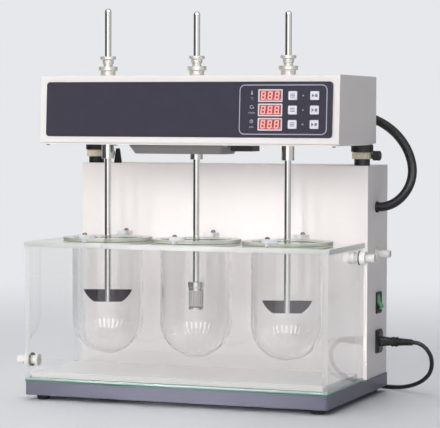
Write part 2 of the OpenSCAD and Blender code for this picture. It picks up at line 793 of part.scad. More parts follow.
module hose_spigots() color("#f2f1ee") {
    at_inlet() spigot(bath_wall_t, gasket_t, spigot_flange_d, spigot_flange_t, spigot_len, spigot_nut_h);
    at_drain() spigot(bath_wall_t, gasket_t, spigot_flange_d, spigot_flange_t, spigot_len, drain_nut_h);
    on_side(side_y, base_top + column_spigot_rise)
        spigot(sheet_t, 0, spigot_nut_d, column_flange_t, column_spigot_len, spigot_nut_h / 2);
}

module spigot_gaskets() color("#161617") {
    at_inlet() ring(spigot_flange_d + gasket_t, thread_d + 2 * run_fit, gasket_t);
    at_drain() ring(spigot_flange_d + gasket_t, thread_d + 2 * run_fit, gasket_t);
}

module water_heater() color("#b9bcc0")
    translate([0, column_y0 + column_d / 2, base_top]) {
        cylinder(d = heater_d, h = heater_h);
        translate([0, 0, heater_h]) cylinder(d = heater_d / 2, h = heater_d / 2);
    }

// Switch, inlet and mains lead

function switch_body_w() = rocker_w + 2 * (slip_gap + switch_body_margin);
function switch_body_h() = 2 * (rocker_r + seat_gap + switch_body_margin);

// Switch bezel and mains inlet, two snap-in mouldings one above the other
module power_entry() color("#19191b") {
    switch_bezel();
    mains_inlet();
}

module switch_bezel() on_side(power_y, base_top + switch_rise) difference() {
    union() {
        linear_extrude(bezel_t) rounded_rect(bezel_w, bezel_h, bezel_r);
        translate([0, 0, -switch_body_d]) linear_extrude(switch_body_d)
            square([switch_body_w(), switch_body_h()], center = true);
    }
    translate([0, 0, -switch_body_d + switch_body_margin]) linear_extrude(switch_body_d + bezel_t)
        square([rocker_w + 2 * slip_gap, 2 * (rocker_r + seat_gap)], center = true);
}

module switch_rocker() color("#1f8f55") on_side(power_y, base_top + switch_rise)
    translate([0, 0, rocker_pivot_z]) rotate([-rocker_tilt, 0, 0]) translate([0, 0, -rocker_pivot_z])
    intersection() {
        translate([-rocker_w / 2, 0, rocker_pivot_z]) rotate([0, 90, 0])
            cylinder(r = rocker_r, h = rocker_w);
        extrude_x(rocker_w) polygon([
            [-rocker_r, rocker_back_z], [rocker_r, rocker_back_z], [rocker_r, rocker_face_z],
            [0, rocker_face_z - rocker_dip], [-rocker_r, rocker_face_z]
        ]);
    }

module mains_inlet() on_side(power_y, base_top + inlet_rise) difference() {
    union() {
        linear_extrude(inlet_t) rounded_rect(inlet_w, inlet_h, inlet_r);
        translate([0, 0, -inlet_body_d]) linear_extrude(inlet_body_d)
            square([inlet_body_w, inlet_body_h], center = true);
    }
    translate([0, 0, inlet_t - plug_nose[2]]) linear_extrude(plug_nose[2] + overcut)
        square([plug_nose[0] + 2 * slip_gap, plug_nose[1] + 2 * slip_gap], center = true);
}

// Plugs moulded on the two ends of the lead
module lead_plugs() color("#141416") {
    mains_plug();
    wall_plug();
}

module mains_plug() on_side(power_y, base_top + inlet_rise) translate([0, 0, inlet_t]) {
    translate([0, 0, -plug_nose[2]]) linear_extrude(plug_nose[2])
        square([plug_nose[0], plug_nose[1]], center = true);
    linear_extrude(plug_head[2]) rounded_rect(plug_head[0], plug_head[1], plug_r);
    translate([0, 0, plug_head[2]]) hull() {
        linear_extrude(relief_wall) rounded_rect(plug_grip[0], plug_grip[1], plug_r);
        translate([0, 0, plug_grip[2] - relief_wall]) linear_extrude(relief_wall)
            rounded_rect(plug_waist[0], plug_waist[1], plug_r);
    }
    translate([0, 0, plug_head[2] + plug_grip[2]]) linear_extrude(plug_collar[2])
        rounded_rect(plug_collar[0], plug_collar[1], plug_r);
    translate([0, 0, plug_head[2] + plug_grip[2] + plug_collar[2]])
        cylinder(d1 = relief_d, d2 = lead_d + 2 * relief_wall, h = relief_len);
}

module mains_cord() color("#121214") swept_tube(lead_path, lead_d, 8);

// Turns counted from the start: in along the lower layer, up half a turn, out along the upper one
coil_turns = 2 * coil_layer_turns + 0.5;
function coil_rise(t) = let (s = min(max((t - coil_layer_turns) * 2, 0), 1)) s * s * (3 - 2 * s);
function coil_radius(t) = coil_r - coil_step * (
    t < coil_layer_turns + 0.25 ? t : coil_turns - t);
function coil_point(t) = [
    coil_centre[0] + coil_radius(t) * cos(-90 - 360 * t),
    coil_centre[1] + coil_radius(t) * sin(-90 - 360 * t),
    coil_low + coil_layer * coil_rise(t)
];
coil_path = concat(
    [lead_route[len(lead_route) - 1]],
    [for (i = [1:coil_turns * coil_rings]) coil_point(i / coil_rings)],
    coil_tail
);
coil_wound = coil_turns * coil_rings;
coil_gap = min([
    for (i = [0:coil_wound - coil_rings / 2], j = [i + coil_rings / 2:coil_wound])
        norm(coil_path[i] - coil_path[j])
]) - lead_d;
function path_length(p) =
    let (d = [for (i = [1:len(p) - 1]) norm(p[i] - p[i - 1])]) d * [for (x = d) 1];
echo(coil_least_gap = coil_gap);
echo(lead_length = path_length(lead_path) + path_length(coil_path));
echo(cable_length = path_length(cable_path));

module cord_coil() color("#121214") swept_tube(coil_path, lead_d, 6);

module wall_plug() translate(coil_tail[len(coil_tail) - 1]) rotate([0, 90, 0]) {
    cylinder(d1 = lead_d + relief_wall, d2 = wall_relief_d, h = wall_relief_len);
    translate([0, 0, wall_relief_len]) linear_extrude(wall_plug_size[0])
        rounded_rect(wall_plug_size[2], wall_plug_size[1], wall_plug_r);
    for (a = [-1, 0, 1])
        translate([0, a * pin_spread, wall_relief_len + wall_plug_size[0] + pin_size[0] / 2])
            rotate([0, 0, a * pin_angle]) cube([pin_size[1], pin_size[2], pin_size[0]], center = true);
}

// Cable between column and head

module gland() ring(gland_d, cable_d + 2 * slip_gap, gland_len);

module column_gland() color("#1a1a1c") on_side(side_y, column_gland_z) gland();

module head_gland() color("#1a1a1c")
    translate([head_gland_x, head_y1, head_gland_z]) rotate([-90, 0, 0]) gland();

module head_cable() color("#151517") swept_tube(cable_path, cable_d, 10);

// Head

// The head's cross-section, with its long edges rounded to radius r about fixed centres
module head_section(r) {
    lean = head_lean_angle;
    front = function (z) head_y0 + (z - head_z0) * tan(lean) + head_r / cos(lean);
    low = head_z0 + head_r;
    high = head_z1 - head_r;
    back = head_y1 - head_r;
    centres = [[front(low), low], [back, low], [back, high], [front(high), high]];
    forward = r * [-cos(lean), sin(lean)];
    polygon([
        centres[0] + forward, centres[0] - [0, r], centres[1] - [0, r], centres[1] + [r, 0],
        centres[2] + [r, 0], centres[2] + [0, r], centres[3] + [0, r], centres[3] + forward
    ]);
    for (c = centres) translate(c) circle(r);
}

module head_shell() color("#e9e6e1") difference() {
    extrude_x(head_w) head_section(head_r);
    extrude_x(head_w - 2 * sheet_t) head_section(head_r - sheet_t);
    translate([-head_w / 2 + head_rim_w, head_y0 + head_rim_w, head_z0 - overcut])
        cube([head_w - 2 * head_rim_w, head_y1 - head_y0 - 2 * head_rim_w, sheet_t + 2 * overcut]);
    for (x = axis_xs) translate([x, axis_y, head_z1 - sheet_t - overcut])
        cylinder(d = spindle_pass_d, h = sheet_t + 2 * overcut);
    on_front() translate([control_x0, control_z0, -sheet_t - overcut])
        cube([control_x1 - control_x0, control_z1 - control_z0, sheet_t + 2 * overcut]);
    translate([head_gland_x, head_y1 + overcut, head_gland_z]) rotate([90, 0, 0])
        cylinder(d = cable_d + 2 * slip_gap, h = sheet_t + 2 * overcut);
}

module head_bottom_plate() color("#d9d6d1") difference() {
    translate([-head_w / 2 + head_plate_inset, head_y0 + head_plate_inset, head_plate_z])
        cube([head_w - 2 * head_plate_inset, head_y1 - head_y0 - 2 * head_plate_inset, head_plate_t]);
    for (x = axis_xs) translate([x, axis_y, head_plate_z - overcut])
        cylinder(d = spindle_pass_d, h = head_plate_t + 2 * overcut);
}

module key_outline(x, row, grow) translate([x, rows[row]])
    rounded_rect(key_w + 2 * grow, key_h + 2 * grow, key_r + grow);

module front_panel() color("#3a3b46") on_front() linear_extrude(panel_t) difference() {
    translate([0, panel_rise + panel_h / 2]) rounded_rect(panel_w, panel_h, panel_r);
    for (row = [0:2]) {
        translate([display_x, rows[row]])
            square([display_w + 2 * slip_gap, display_h + 2 * slip_gap], center = true);
        for (x = [key_x1, key_x2]) key_outline(x, row, seat_gap);
    }
}

module display_windows() color("#7d1a1c") on_front()
    for (z = rows) translate([display_x, z]) linear_extrude(panel_t)
        square([display_w, display_h], center = true);

module key(x, row) color("#dcdae4") on_front() {
    translate([0, 0, -seat_gap]) linear_extrude(panel_t + key_proud + seat_gap) key_outline(x, row, 0);
    translate([0, 0, -seat_gap - key_lip_t]) linear_extrude(key_lip_t) key_outline(x, row, key_lip);
}

// Drive under and inside the head

// A shallow tray whose walls slope in towards its floor, less a wall all round
module tray_form(wall) hull() {
    w = pan_w - 2 * wall;
    d = pan_d - 2 * wall;
    translate([0, 0, wall]) linear_extrude(sheet_t)
        rounded_rect(w - 2 * pan_slope, d - 2 * pan_slope, pan_r - wall);
    translate([0, 0, wall + pan_h - sheet_t]) linear_extrude(sheet_t) rounded_rect(w, d, pan_r - wall);
}

module drive_pan() color("#9a9ba3") difference() {
    translate([-pan_shift, axis_y, head_plate_z - pan_h]) difference() {
        tray_form(0);
        tray_form(sheet_t);
    }
    translate([0, axis_y, head_plate_z - pan_h - overcut])
        cylinder(d = spindle_pass_d, h = sheet_t + 2 * overcut);
}

// The gear motor stands on a foot inside the rim folded under the head
module drive_motor() color("#2b2c30") {
    bore = spindle_d + 2 * run_fit;
    lift = sheet_t + seat_gap;
    translate([0, axis_y, head_z0]) ring(housing_foot_d, bore, motor_h);
    translate([0, axis_y, head_z0 + lift]) ring(motor_d, bore, motor_h - lift);
    translate([pan_w / 2 - pan_shift + terminal_w / 2, axis_y, head_plate_z - terminal_h])
        linear_extrude(terminal_h) rounded_rect(terminal_w, pan_d - 2 * pan_r, bezel_r);
}

module bearing_housings() color("#a8aab0") {
    bore = spindle_d + 2 * run_fit;
    for (x = [-pitch, pitch]) translate([x, axis_y, head_z0]) difference() {
        union() {
            cylinder(d = housing_foot_d, h = housing_foot_t);
            cylinder(d = housing_d, h = housing_h);
        }
        translate([0, 0, -overcut]) cylinder(d = bore, h = housing_h + 2 * overcut);
    }
    for (x = axis_xs) translate([x, axis_y, head_z1 - sheet_t - top_bearing_h])
        ring(housing_d, bore, top_bearing_h);
}

module belt_outline(length, r) {
    for (x = [0, length]) translate([x, 0]) circle(r);
    translate([0, -r]) square([length, 2 * r]);
}

module belt_loop(x, z) translate([x, axis_y, z]) linear_extrude(belt_w) difference() {
    belt_outline(pitch, belt_loop_r + belt_t);
    belt_outline(pitch, belt_loop_r);
}

module drive_belts() color("#1c1c1e") {
    belt_loop(-pitch, lower_belt_z);
    belt_loop(0, upper_belt_z);
}

// A hollow spindle with its pulleys, the ring above the head and the chuck's threaded nose
module spindle(x, belts) color("#b4b7bb") translate([x, axis_y, 0]) difference() {
    union() {
        translate([0, 0, spindle_z0]) cylinder(d = spindle_d, h = ring_z - spindle_z0 + overcut);
        for (z = belts) translate([0, 0, z - (pulley_h - belt_w) / 2]) cylinder(d = pulley_d, h = pulley_h);
        translate([0, 0, shoulder_z]) cylinder(d = shoulder_d, h = ring_z - shoulder_z + overcut);
        translate([0, 0, ring_z]) turned_disc(ring_d, ring_h);
        translate([0, 0, nose_z]) cylinder(d = nose_d, h = nose_end - nose_z);
    }
    translate([0, 0, spindle_z0 - overcut])
        cylinder(d = shaft_d + 2 * run_fit, h = nose_end - spindle_z0 + 2 * overcut);
}

module chuck_nut(x) color("#c4c7cb") translate([x, axis_y, 0]) difference() {
    union() {
        translate([0, 0, nut_z]) cylinder(d = nut_d, h = nut_h + overcut);
        translate([0, 0, cap_z]) turned_disc(cap_d, cap_h);
    }
    translate([0, 0, nut_z - overcut])
        cylinder(d = nose_d + 2 * run_fit, h = nose_end + slip_gap - nut_z + overcut);
    translate([0, 0, cap_z]) cylinder(d = shaft_d + 2 * run_fit, h = cap_h + overcut);
}

// Stirrers

// A round rod with a domed top end
module domed_rod(len) rotate_extrude() {
    square([shaft_d / 2, len - shaft_d / 2]);
    translate([0, len - shaft_d / 2]) intersection() {
        circle(shaft_d / 2);
        square(shaft_d / 2);
    }
}

// A paddle's shaft, slotted at its foot for the blade
module paddle_shaft(x, z) color("#b9bcc0") translate([x, axis_y, z]) difference() {
    domed_rod(shaft_len);
    rotate([0, 0, paddle_angle]) translate([-shaft_d, -paddle_t / 2, -overcut])
        cube([2 * shaft_d, paddle_t, paddle_h + overcut]);
}

// A paddle blade: a flat plate whose sides are arcs of one circle
module blade(x, z) color("#55565c") translate([x, axis_y, z]) rotate([0, 0, paddle_angle])
    rotate([90, 0, 0]) linear_extrude(paddle_t, center = true) intersection() {
        translate([0, blade_centre]) circle(blade_r);
        translate([-blade_r, 0]) square([2 * blade_r, paddle_h]);
    }

module basket_shaft() color("#b9bcc0") translate([0, axis_y, hub_z]) {
    turned_disc(hub_d, hub_h);
    domed_rod(middle_shaft_len);
}

// The basket: a thin cup opened by rows of windows, with plain rims and a pierced floor
module basket() color("#9b9da2") translate([0, axis_y, basket_z]) {
    inner_d = basket_d - 2 * basket_wall;
    window_w = PI * basket_d / basket_columns - basket_wire;
    row_h = (basket_h - 2 * basket_rim_h) / basket_rows;
    hole_d = inner_d / 5;
    difference() {
        cylinder(d = basket_d, h = basket_h);
        translate([0, 0, basket_wall]) cylinder(d = inner_d, h = basket_h);
        for (i = [1:basket_columns / 2], k = [0:basket_rows - 1])
            rotate([0, 0, 360 * i / basket_columns])
                translate([-basket_d, -window_w / 2, basket_rim_h + k * row_h + basket_wire / 2])
                    cube([2 * basket_d, window_w, row_h - basket_wire]);
        for (i = [1:6]) rotate([0, 0, 60 * i]) translate([inner_d / 3, 0, -overcut])
            cylinder(d = hole_d, h = basket_wall + 2 * overcut);
        translate([0, 0, -overcut]) cylinder(d = hole_d, h = basket_wall + 2 * overcut);
    }
}

base_tray();
feet();
glass_plate();
bath_tank();
vessel_plate();
clamp_screws();
vessel(-pitch);  // vessel_left
vessel(0);  // vessel_middle
vessel(pitch);  // vessel_right
clamp(-pitch, clamp_front_angle);  // clamp_front_left
clamp(0, clamp_front_angle);  // clamp_front_middle
clamp(pitch, clamp_front_angle);  // clamp_front_right
clamp(-pitch, clamp_rear_angle);  // clamp_rear_left
clamp(0, clamp_rear_angle);  // clamp_rear_middle
clamp(pitch, clamp_rear_angle);  // clamp_rear_right
column_shell();
column_back_cover();
guide_bushes();
lock_collars();
lock_knob(-post_x);  // lock_knob_left
lock_knob(post_x);  // lock_knob_right
limit_buffer();
hose_spigots();
spigot_gaskets();
water_heater();
power_entry();
switch_rocker();
lead_plugs();
mains_cord();
cord_coil();
column_gland();
head_gland();
head_cable();
head_shell();
head_bottom_plate();
front_panel();
display_windows();
lift_posts();
key(key_x1, 2);  // key_top_left
key(key_x2, 2);  // key_top_right
key(key_x1, 1);  // key_middle_left
key(key_x2, 1);  // key_middle_right
key(key_x1, 0);  // key_bottom_left
key(key_x2, 0);  // key_bottom_right
drive_pan();
drive_motor();
bearing_housings();
drive_belts();
spindle(-pitch, [lower_belt_z]);  // spindle_left
spindle(0, [lower_belt_z, upper_belt_z]);  // spindle_middle
spindle(pitch, [upper_belt_z]);  // spindle_right
chuck_nut(-pitch);  // chuck_nut_left
chuck_nut(0);  // chuck_nut_middle
chuck_nut(pitch);  // chuck_nut_right
paddle_shaft(-pitch, left_z);  // shaft_left
basket_shaft();  // shaft_middle
paddle_shaft(pitch, right_z);  // shaft_right
blade(-pitch, left_z);  // blade_left
blade(pitch, right_z);  // blade_right
basket();
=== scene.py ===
"""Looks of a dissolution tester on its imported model: painted housings, clear bath, vessels and stirrers."""

import json
import math

import bmesh
import bpy
from mathutils import Matrix, Vector

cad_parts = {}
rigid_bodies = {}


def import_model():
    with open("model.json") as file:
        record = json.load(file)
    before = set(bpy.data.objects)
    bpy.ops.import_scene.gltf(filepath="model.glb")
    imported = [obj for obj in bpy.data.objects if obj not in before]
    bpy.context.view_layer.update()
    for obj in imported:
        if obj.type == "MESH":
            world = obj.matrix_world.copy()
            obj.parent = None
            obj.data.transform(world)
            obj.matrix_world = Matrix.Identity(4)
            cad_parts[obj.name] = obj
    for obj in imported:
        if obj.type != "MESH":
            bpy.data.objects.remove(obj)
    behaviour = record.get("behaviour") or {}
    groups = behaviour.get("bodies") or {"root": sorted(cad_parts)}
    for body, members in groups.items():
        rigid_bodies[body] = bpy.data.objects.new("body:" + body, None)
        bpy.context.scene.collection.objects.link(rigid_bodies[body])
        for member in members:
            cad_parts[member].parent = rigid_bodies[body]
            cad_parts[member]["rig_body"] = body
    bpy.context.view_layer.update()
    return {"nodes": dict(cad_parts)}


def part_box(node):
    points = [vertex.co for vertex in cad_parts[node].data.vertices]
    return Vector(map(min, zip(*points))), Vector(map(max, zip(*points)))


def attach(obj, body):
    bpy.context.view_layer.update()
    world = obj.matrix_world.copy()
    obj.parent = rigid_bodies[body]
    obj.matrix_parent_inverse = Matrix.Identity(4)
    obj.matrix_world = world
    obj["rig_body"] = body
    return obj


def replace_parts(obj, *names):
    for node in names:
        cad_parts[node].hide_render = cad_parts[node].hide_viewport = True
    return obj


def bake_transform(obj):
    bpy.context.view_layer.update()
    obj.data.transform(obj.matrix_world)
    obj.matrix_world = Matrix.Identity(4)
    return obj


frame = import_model()
scene = bpy.context.scene
scene.view_settings.view_transform = "Standard"
MM = 0.001


# Places of the model, in mm


def box_mm(node):
    """The lowest and the highest corner of a node of the model."""
    return [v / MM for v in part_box(node)]


def middle_mm(node):
    """The middle of a node of the model, to a tenth."""
    low, high = box_mm(node)
    return [round(c, 1) for c in (low + high) / 2]


AXES = {side: middle_mm(f"shaft_{side}")[0] for side in ("left", "middle", "right")}
AXIS_Y = middle_mm("shaft_middle")[1]
(_, bath_y0, bath_z0), (bath_x1, bath_y1, bath_z1) = box_mm("bath_tank")

# The head's front face leans back. What is on it is drawn with x to the right, y up the face and z out of it
FACE_LEAN, FACE_RISE = 5.6, 102
FACE_FOOT = (0, -105.5, 387.3)
LEAN = math.atan(FACE_LEAN / FACE_RISE)
FRONT = Matrix.Translation(FACE_FOOT) @ Matrix.Rotation(math.pi / 2 - LEAN, 4, "X")
ROWS = {"bottom": 29.5, "middle": 50.5, "top": 71.5}
KEY_X = {"left": 167.0, "right": 200.5}

# What is on a right wall is drawn with y up and z out of the wall
OUT_X = Matrix(((0, 0, 1, 0), (1, 0, 0, 0), (0, 1, 0, 0), (0, 0, 0, 1)))
BATH_SIDE, COLUMN_SIDE = 239, 236.5
POWER_Y, SWITCH_Z, INLET_Z = 108, 142, 82


# Small helpers

# Points within WELD metres are one. In degrees: faces within FLAT are one face, edges over CRISP are rounded
# off, and edges over SHARP are kept in the shading
WELD, FLAT, CRISP, SHARP = 2e-6, 0.3, 48, 34


def linear(hex_code):
    """An sRGB hex colour as linear RGBA."""
    parts = [int(hex_code[i:i + 2], 16) / 255 for i in (1, 3, 5)]
    return (*[c / 12.92 if c <= 0.04045 else ((c + 0.055) / 1.055) ** 2.4 for c in parts], 1.0)


def add(tree, kind, inputs=None, **settings):
    """Adds a node to a tree, with its settings, and with values or links for its inputs."""
    made = tree.nodes.new(kind)
    for key, value in settings.items():
        setattr(made, key, value)
    for key, value in (inputs or {}).items():
        if isinstance(value, bpy.types.NodeSocket):
            tree.links.new(value, made.inputs[key])
        else:
            made.inputs[key].default_value = value
    return made


def blank(name):
    """A new material with an empty tree, and its object coordinates in metres."""
    made = bpy.data.materials.new(name)
    made.use_nodes = True
    made.node_tree.nodes.clear()
    return made, made.node_tree, add(made.node_tree, "ShaderNodeTexCoord").outputs["Object"]


def linked(name, mesh, materials=()):
    """A new object in the scene, at the origin."""
    made = bpy.data.objects.new(name, mesh)
    scene.collection.objects.link(made)
    for m in materials:
        mesh.materials.append(m)
    return made


def settle(bm, angle=SHARP):
    """Smooth faces, with edges sharper than angle kept crisp."""
    bm.normal_update()
    for f in bm.faces:
        f.smooth = True
    for e in bm.edges:
        e.smooth = len(e.link_faces) == 2 and e.calc_face_angle(0) < math.radians(angle)


def piece(name, bm, materials, body, angle=SHARP):
    """Turns a bmesh into an object that rides on a body. Large flat faces keep their shading flat."""
    settle(bm, angle)
    mesh = bpy.data.meshes.new(name)
    bm.to_mesh(mesh)
    bm.free()
    made = linked(name, mesh, materials)
    made.modifiers.new("flat_faces", "WEIGHTED_NORMAL").keep_sharp = True
    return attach(made, body)


def dressed(node, materials, edge, segments=2, pick=None):
    """A copy of a CAD node with its crisp edges rounded by edge mm, standing for that node.
    pick gives a face's material number from its middle and its normal."""
    source = frame["nodes"][node]
    bm = bmesh.new()
    bm.from_mesh(source.data)
    bmesh.ops.remove_doubles(bm, verts=bm.verts, dist=WELD)
    bmesh.ops.dissolve_limit(bm, angle_limit=math.radians(FLAT), verts=bm.verts, edges=bm.edges)
    bm.normal_update()
    crisp = [e for e in bm.edges if len(e.link_faces) == 2 and e.calc_face_angle(0) > math.radians(CRISP)]
    bmesh.ops.bevel(bm, geom=crisp, offset=edge * MM, offset_type="OFFSET", segments=segments, profile=0.5,
                    affect="EDGES", clamp_overlap=True)
    bm.normal_update()
    for f in bm.faces:
        f.material_index = pick(f.calc_center_median() / MM, f.normal) if pick else 0
    made = piece(node + "_finish", bm, materials, source["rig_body"])
    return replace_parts(made, node)


def rounded(w, h, r, x=0.0, y=0.0, steps=6):
    """The outline of a rectangle with round corners."""
    return [(x + sx * (w / 2 - r) + r * math.cos(a), y + sy * (h / 2 - r) + r * math.sin(a))
            for sx, sy, start in ((1, 1, 0), (-1, 1, 90), (-1, -1, 180), (1, -1, 270))
            for a in (math.radians(start + 90 * k / steps) for k in range(steps + 1))]


def slab(bm, outline, low, high, place, number=0):
    """Adds a flat plate to bm: an outline in mm in place's XY plane, from low to high along its Z."""
    rings = [[bm.verts.new((place @ Vector((x, y, z))) * MM) for x, y in outline] for z in (low, high)]
    count = len(outline)
    for k in range(count):
        n = (k + 1) % count
        bm.faces.new((rings[0][k], rings[0][n], rings[1][n], rings[1][k])).material_index = number
    bm.faces.new(rings[1]).material_index = number
    bm.faces.new(rings[0][::-1]).material_index = number


def rim(bm, outer, inner, low, high, place):
    """Adds a flat ring to bm, between two outlines with as many points."""
    loops = [[bm.verts.new((place @ Vector((x, y, z))) * MM) for x, y in line]
             for line, z in ((outer, low), (outer, high), (inner, high), (inner, low))]
    count = len(outer)
    for one, two in zip(loops, loops[1:] + loops[:1]):
        for k in range(count):
            n = (k + 1) % count
            bm.faces.new((one[k], one[n], two[n], two[k]))


def turned(bm, profile, place, segments):
    """Adds a turned form to bm: (radius, height) points in mm about place's Z axis."""
    rings = []
    for r, z in profile:
        angles = [math.tau * k / segments for k in range(segments)] if r > 1e-6 else [0.0]
        ring = [place @ Vector((r * math.cos(a), r * math.sin(a), z)) for a in angles]
        rings.append([bm.verts.new(p * MM) for p in ring])
    for low, high in zip(rings, rings[1:]):
        for k in range(segments):
            n = (k + 1) % segments
            corners = [low[k % len(low)], low[n % len(low)], high[n % len(high)], high[k % len(high)]]
            corners = list(dict.fromkeys(corners))
            if len(corners) > 2:
                bm.faces.new(corners)


def tube(bm, path, radius, sides):
    """Adds a round rod or wire to bm along points in mm. Its first ring is laid out from any direction
    that the rod doesn't start along."""
    points = [Vector(p) for p in path]
    across, rings = Vector((0.12, 1, 0.31)), []
    for i, p in enumerate(points):
        t = (points[min(i + 1, len(points) - 1)] - points[max(i - 1, 0)]).normalized()
        across = (across - across.dot(t) * t).normalized()
        other = t.cross(across)
        rings.append([bm.verts.new((p + radius * (math.cos(math.tau * k / sides) * across
                                                  + math.sin(math.tau * k / sides) * other)) * MM)
                      for k in range(sides)])
    for low, high in zip(rings, rings[1:]):
        for k in range(sides):
            n = (k + 1) % sides
            bm.faces.new((low[k], low[n], high[n], high[k]))
    bm.faces.new(rings[0][::-1])
    bm.faces.new(rings[-1])


def words(bm, text, size, x, y, z, place):
    """Adds flat lettering to bm, centred on a point of place's XY plane."""
    curve = bpy.data.curves.new("legend", "FONT")
    curve.body = text
    curve.size = size
    curve.align_x = "CENTER"
    curve.align_y = "CENTER"
    curve.resolution_u = 3
    holder = bpy.data.objects.new("legend", curve)
    mesh = bpy.data.meshes.new_from_object(holder)
    start = len(bm.verts)
    bm.from_mesh(mesh)
    bm.verts.ensure_lookup_table()
    for v in bm.verts[start:]:
        v.co = (place @ Vector((v.co.x + x, v.co.y + y, z))) * MM
    bpy.data.objects.remove(holder)
    bpy.data.meshes.remove(mesh)
    bpy.data.curves.remove(curve)


def eased(points, steps):
    """A round curve through the points, as the routes in the model are drawn."""
    p = [Vector(v) for v in points]
    made = []
    for i in range(len(p) - 1):
        a, b, c, d = p[max(i - 1, 0)], p[i], p[i + 1], p[min(i + 2, len(p) - 1)]
        for k in range(steps):
            s = k / steps
            made.append(0.5 * (2 * b + (c - a) * s + (2 * a - 5 * b + 4 * c - d) * s ** 2
                               + (3 * b - a - 3 * c + d) * s ** 3))
    return made + [p[-1]]


def length_of(path):
    """The length of a line of points."""
    return sum((b - a).length for a, b in zip(path, path[1:]))


# Camera, placed where the photograph was taken from

CAMERA_AT = (1134.5, -2992.5, 428.5)
CAMERA_YAW, CAMERA_PITCH, CAMERA_ROLL = 20.50, 2.68, 0.19
LENS, FILM, FARTHEST = 170.96, 36, 60


def add_camera():
    """A long lens that looks along +y, turned to the left by the yaw and down by the pitch, in degrees."""
    yaw, pitch, roll = (math.radians(a) for a in (CAMERA_YAW, CAMERA_PITCH, CAMERA_ROLL))
    forward = Vector((-math.sin(yaw) * math.cos(pitch), math.cos(yaw) * math.cos(pitch), -math.sin(pitch)))
    right = Vector((math.cos(yaw), math.sin(yaw), 0))
    up = right.cross(forward)
    right, up = (math.cos(roll) * right + math.sin(roll) * up, math.cos(roll) * up - math.sin(roll) * right)
    data = bpy.data.cameras.new("bench_camera")
    data.sensor_width = FILM
    data.lens = LENS
    data.clip_end = FARTHEST
    made = bpy.data.objects.new("bench_camera", data)
    scene.collection.objects.link(made)
    turn = Matrix((right, up, -forward)).transposed().to_4x4()
    made.matrix_world = Matrix.Translation(Vector(CAMERA_AT) * MM) @ turn
    scene.camera = made


add_camera()


# Materials


def powder_coat(name, colour, shade, gloss):
    """Powder-coated sheet steel, sprayed and baked: a satin film with a faint orange-peel ripple.
    The real ripple is about 1 mm; it is drawn at 3 mm so that it shows."""
    cloud_mm, peel_mm = 180, 3
    m, t, at = blank(name)
    cloud = add(t, "ShaderNodeTexNoise", {"Vector": at, "Scale": 1000 / cloud_mm, "Detail": 3.0})
    tint = add(t, "ShaderNodeMix", {"Factor": cloud.outputs["Fac"], "A": linear(colour), "B": linear(shade)},
               data_type="RGBA")
    peel = add(t, "ShaderNodeTexNoise", {"Vector": at, "Scale": 1000 / peel_mm, "Detail": 1.5})
    rough = add(t, "ShaderNodeMapRange", {
        "Value": peel.outputs["Fac"], "To Min": gloss - 0.05, "To Max": gloss + 0.06})
    bump = add(t, "ShaderNodeBump", {"Height": peel.outputs["Fac"], "Strength": 0.08, "Distance": 0.0004})
    film = add(t, "ShaderNodeBsdfPrincipled", {
        "Base Color": tint.outputs["Result"], "Roughness": rough.outputs["Result"],
        "Normal": bump.outputs["Normal"], "IOR": 1.5})
    add(t, "ShaderNodeOutputMaterial", {"Surface": film.outputs["BSDF"]})
    return m


def let_light_through(tree, shader, colour):
    """Ends a clear material: lamp light and daylight pass it, so that what it holds is lit."""
    ray = add(tree, "ShaderNodeLightPath")
    passing = add(tree, "ShaderNodeMath", {0: ray.outputs["Is Shadow Ray"], 1: ray.outputs["Is Diffuse Ray"]},
                  operation="MAXIMUM")
    through = add(tree, "ShaderNodeBsdfTransparent", {"Color": linear(colour)})
    both = add(tree, "ShaderNodeMixShader", {
        0: passing.outputs["Value"], 1: shader.outputs["BSDF"], 2: through.outputs["BSDF"]})
    add(tree, "ShaderNodeOutputMaterial", {"Surface": both.outputs["Shader"]})


def clear_sheet(name, colour, ior, rough, wipe_mm, share=1.0):
    """A clear flat plate, which shifts what is behind it too little to see: no bending of light inside, and
    a polished skin that mirrors more at a slant. Wipe marks stir the skin's gloss. share is how much light
    goes through; the rest is a pale diffuse part: a little milkiness on clamps and flanges, and on the
    floor plates a painted white reflection."""
    m, t, at = blank(name)
    wipe = add(t, "ShaderNodeTexNoise", {
        "Vector": at, "Scale": 1000 / wipe_mm, "Detail": 2.0, "Distortion": 0.6})
    gloss = add(t, "ShaderNodeMapRange", {
        "Value": wipe.outputs["Fac"], "From Min": 0.45, "From Max": 0.75, "To Min": rough,
        "To Max": rough + 0.05})
    sheet = add(t, "ShaderNodeBsdfPrincipled", {
        "Base Color": linear(colour), "Roughness": 0.0, "IOR": 1.02, "Transmission Weight": share,
        "Coat Weight": 1.0, "Coat IOR": ior, "Coat Roughness": gloss.outputs["Result"]})
    let_light_through(t, sheet, colour)
    return m


def blown_glass(name, colour, ior, wave_mm):
    """Blown glass: clear, bending what is behind it, with slow waves in the wall from the blowing."""
    m, t, at = blank(name)
    wave = add(t, "ShaderNodeTexNoise", {"Vector": at, "Scale": 1000 / wave_mm, "Detail": 1.0})
    bump = add(t, "ShaderNodeBump", {"Height": wave.outputs["Fac"], "Strength": 0.05, "Distance": 0.002})
    wall = add(t, "ShaderNodeBsdfPrincipled", {
        "Base Color": linear(colour), "Roughness": 0.0, "IOR": ior, "Transmission Weight": 1.0,
        "Normal": bump.outputs["Normal"]})
    let_light_through(t, wall, colour)
    return m


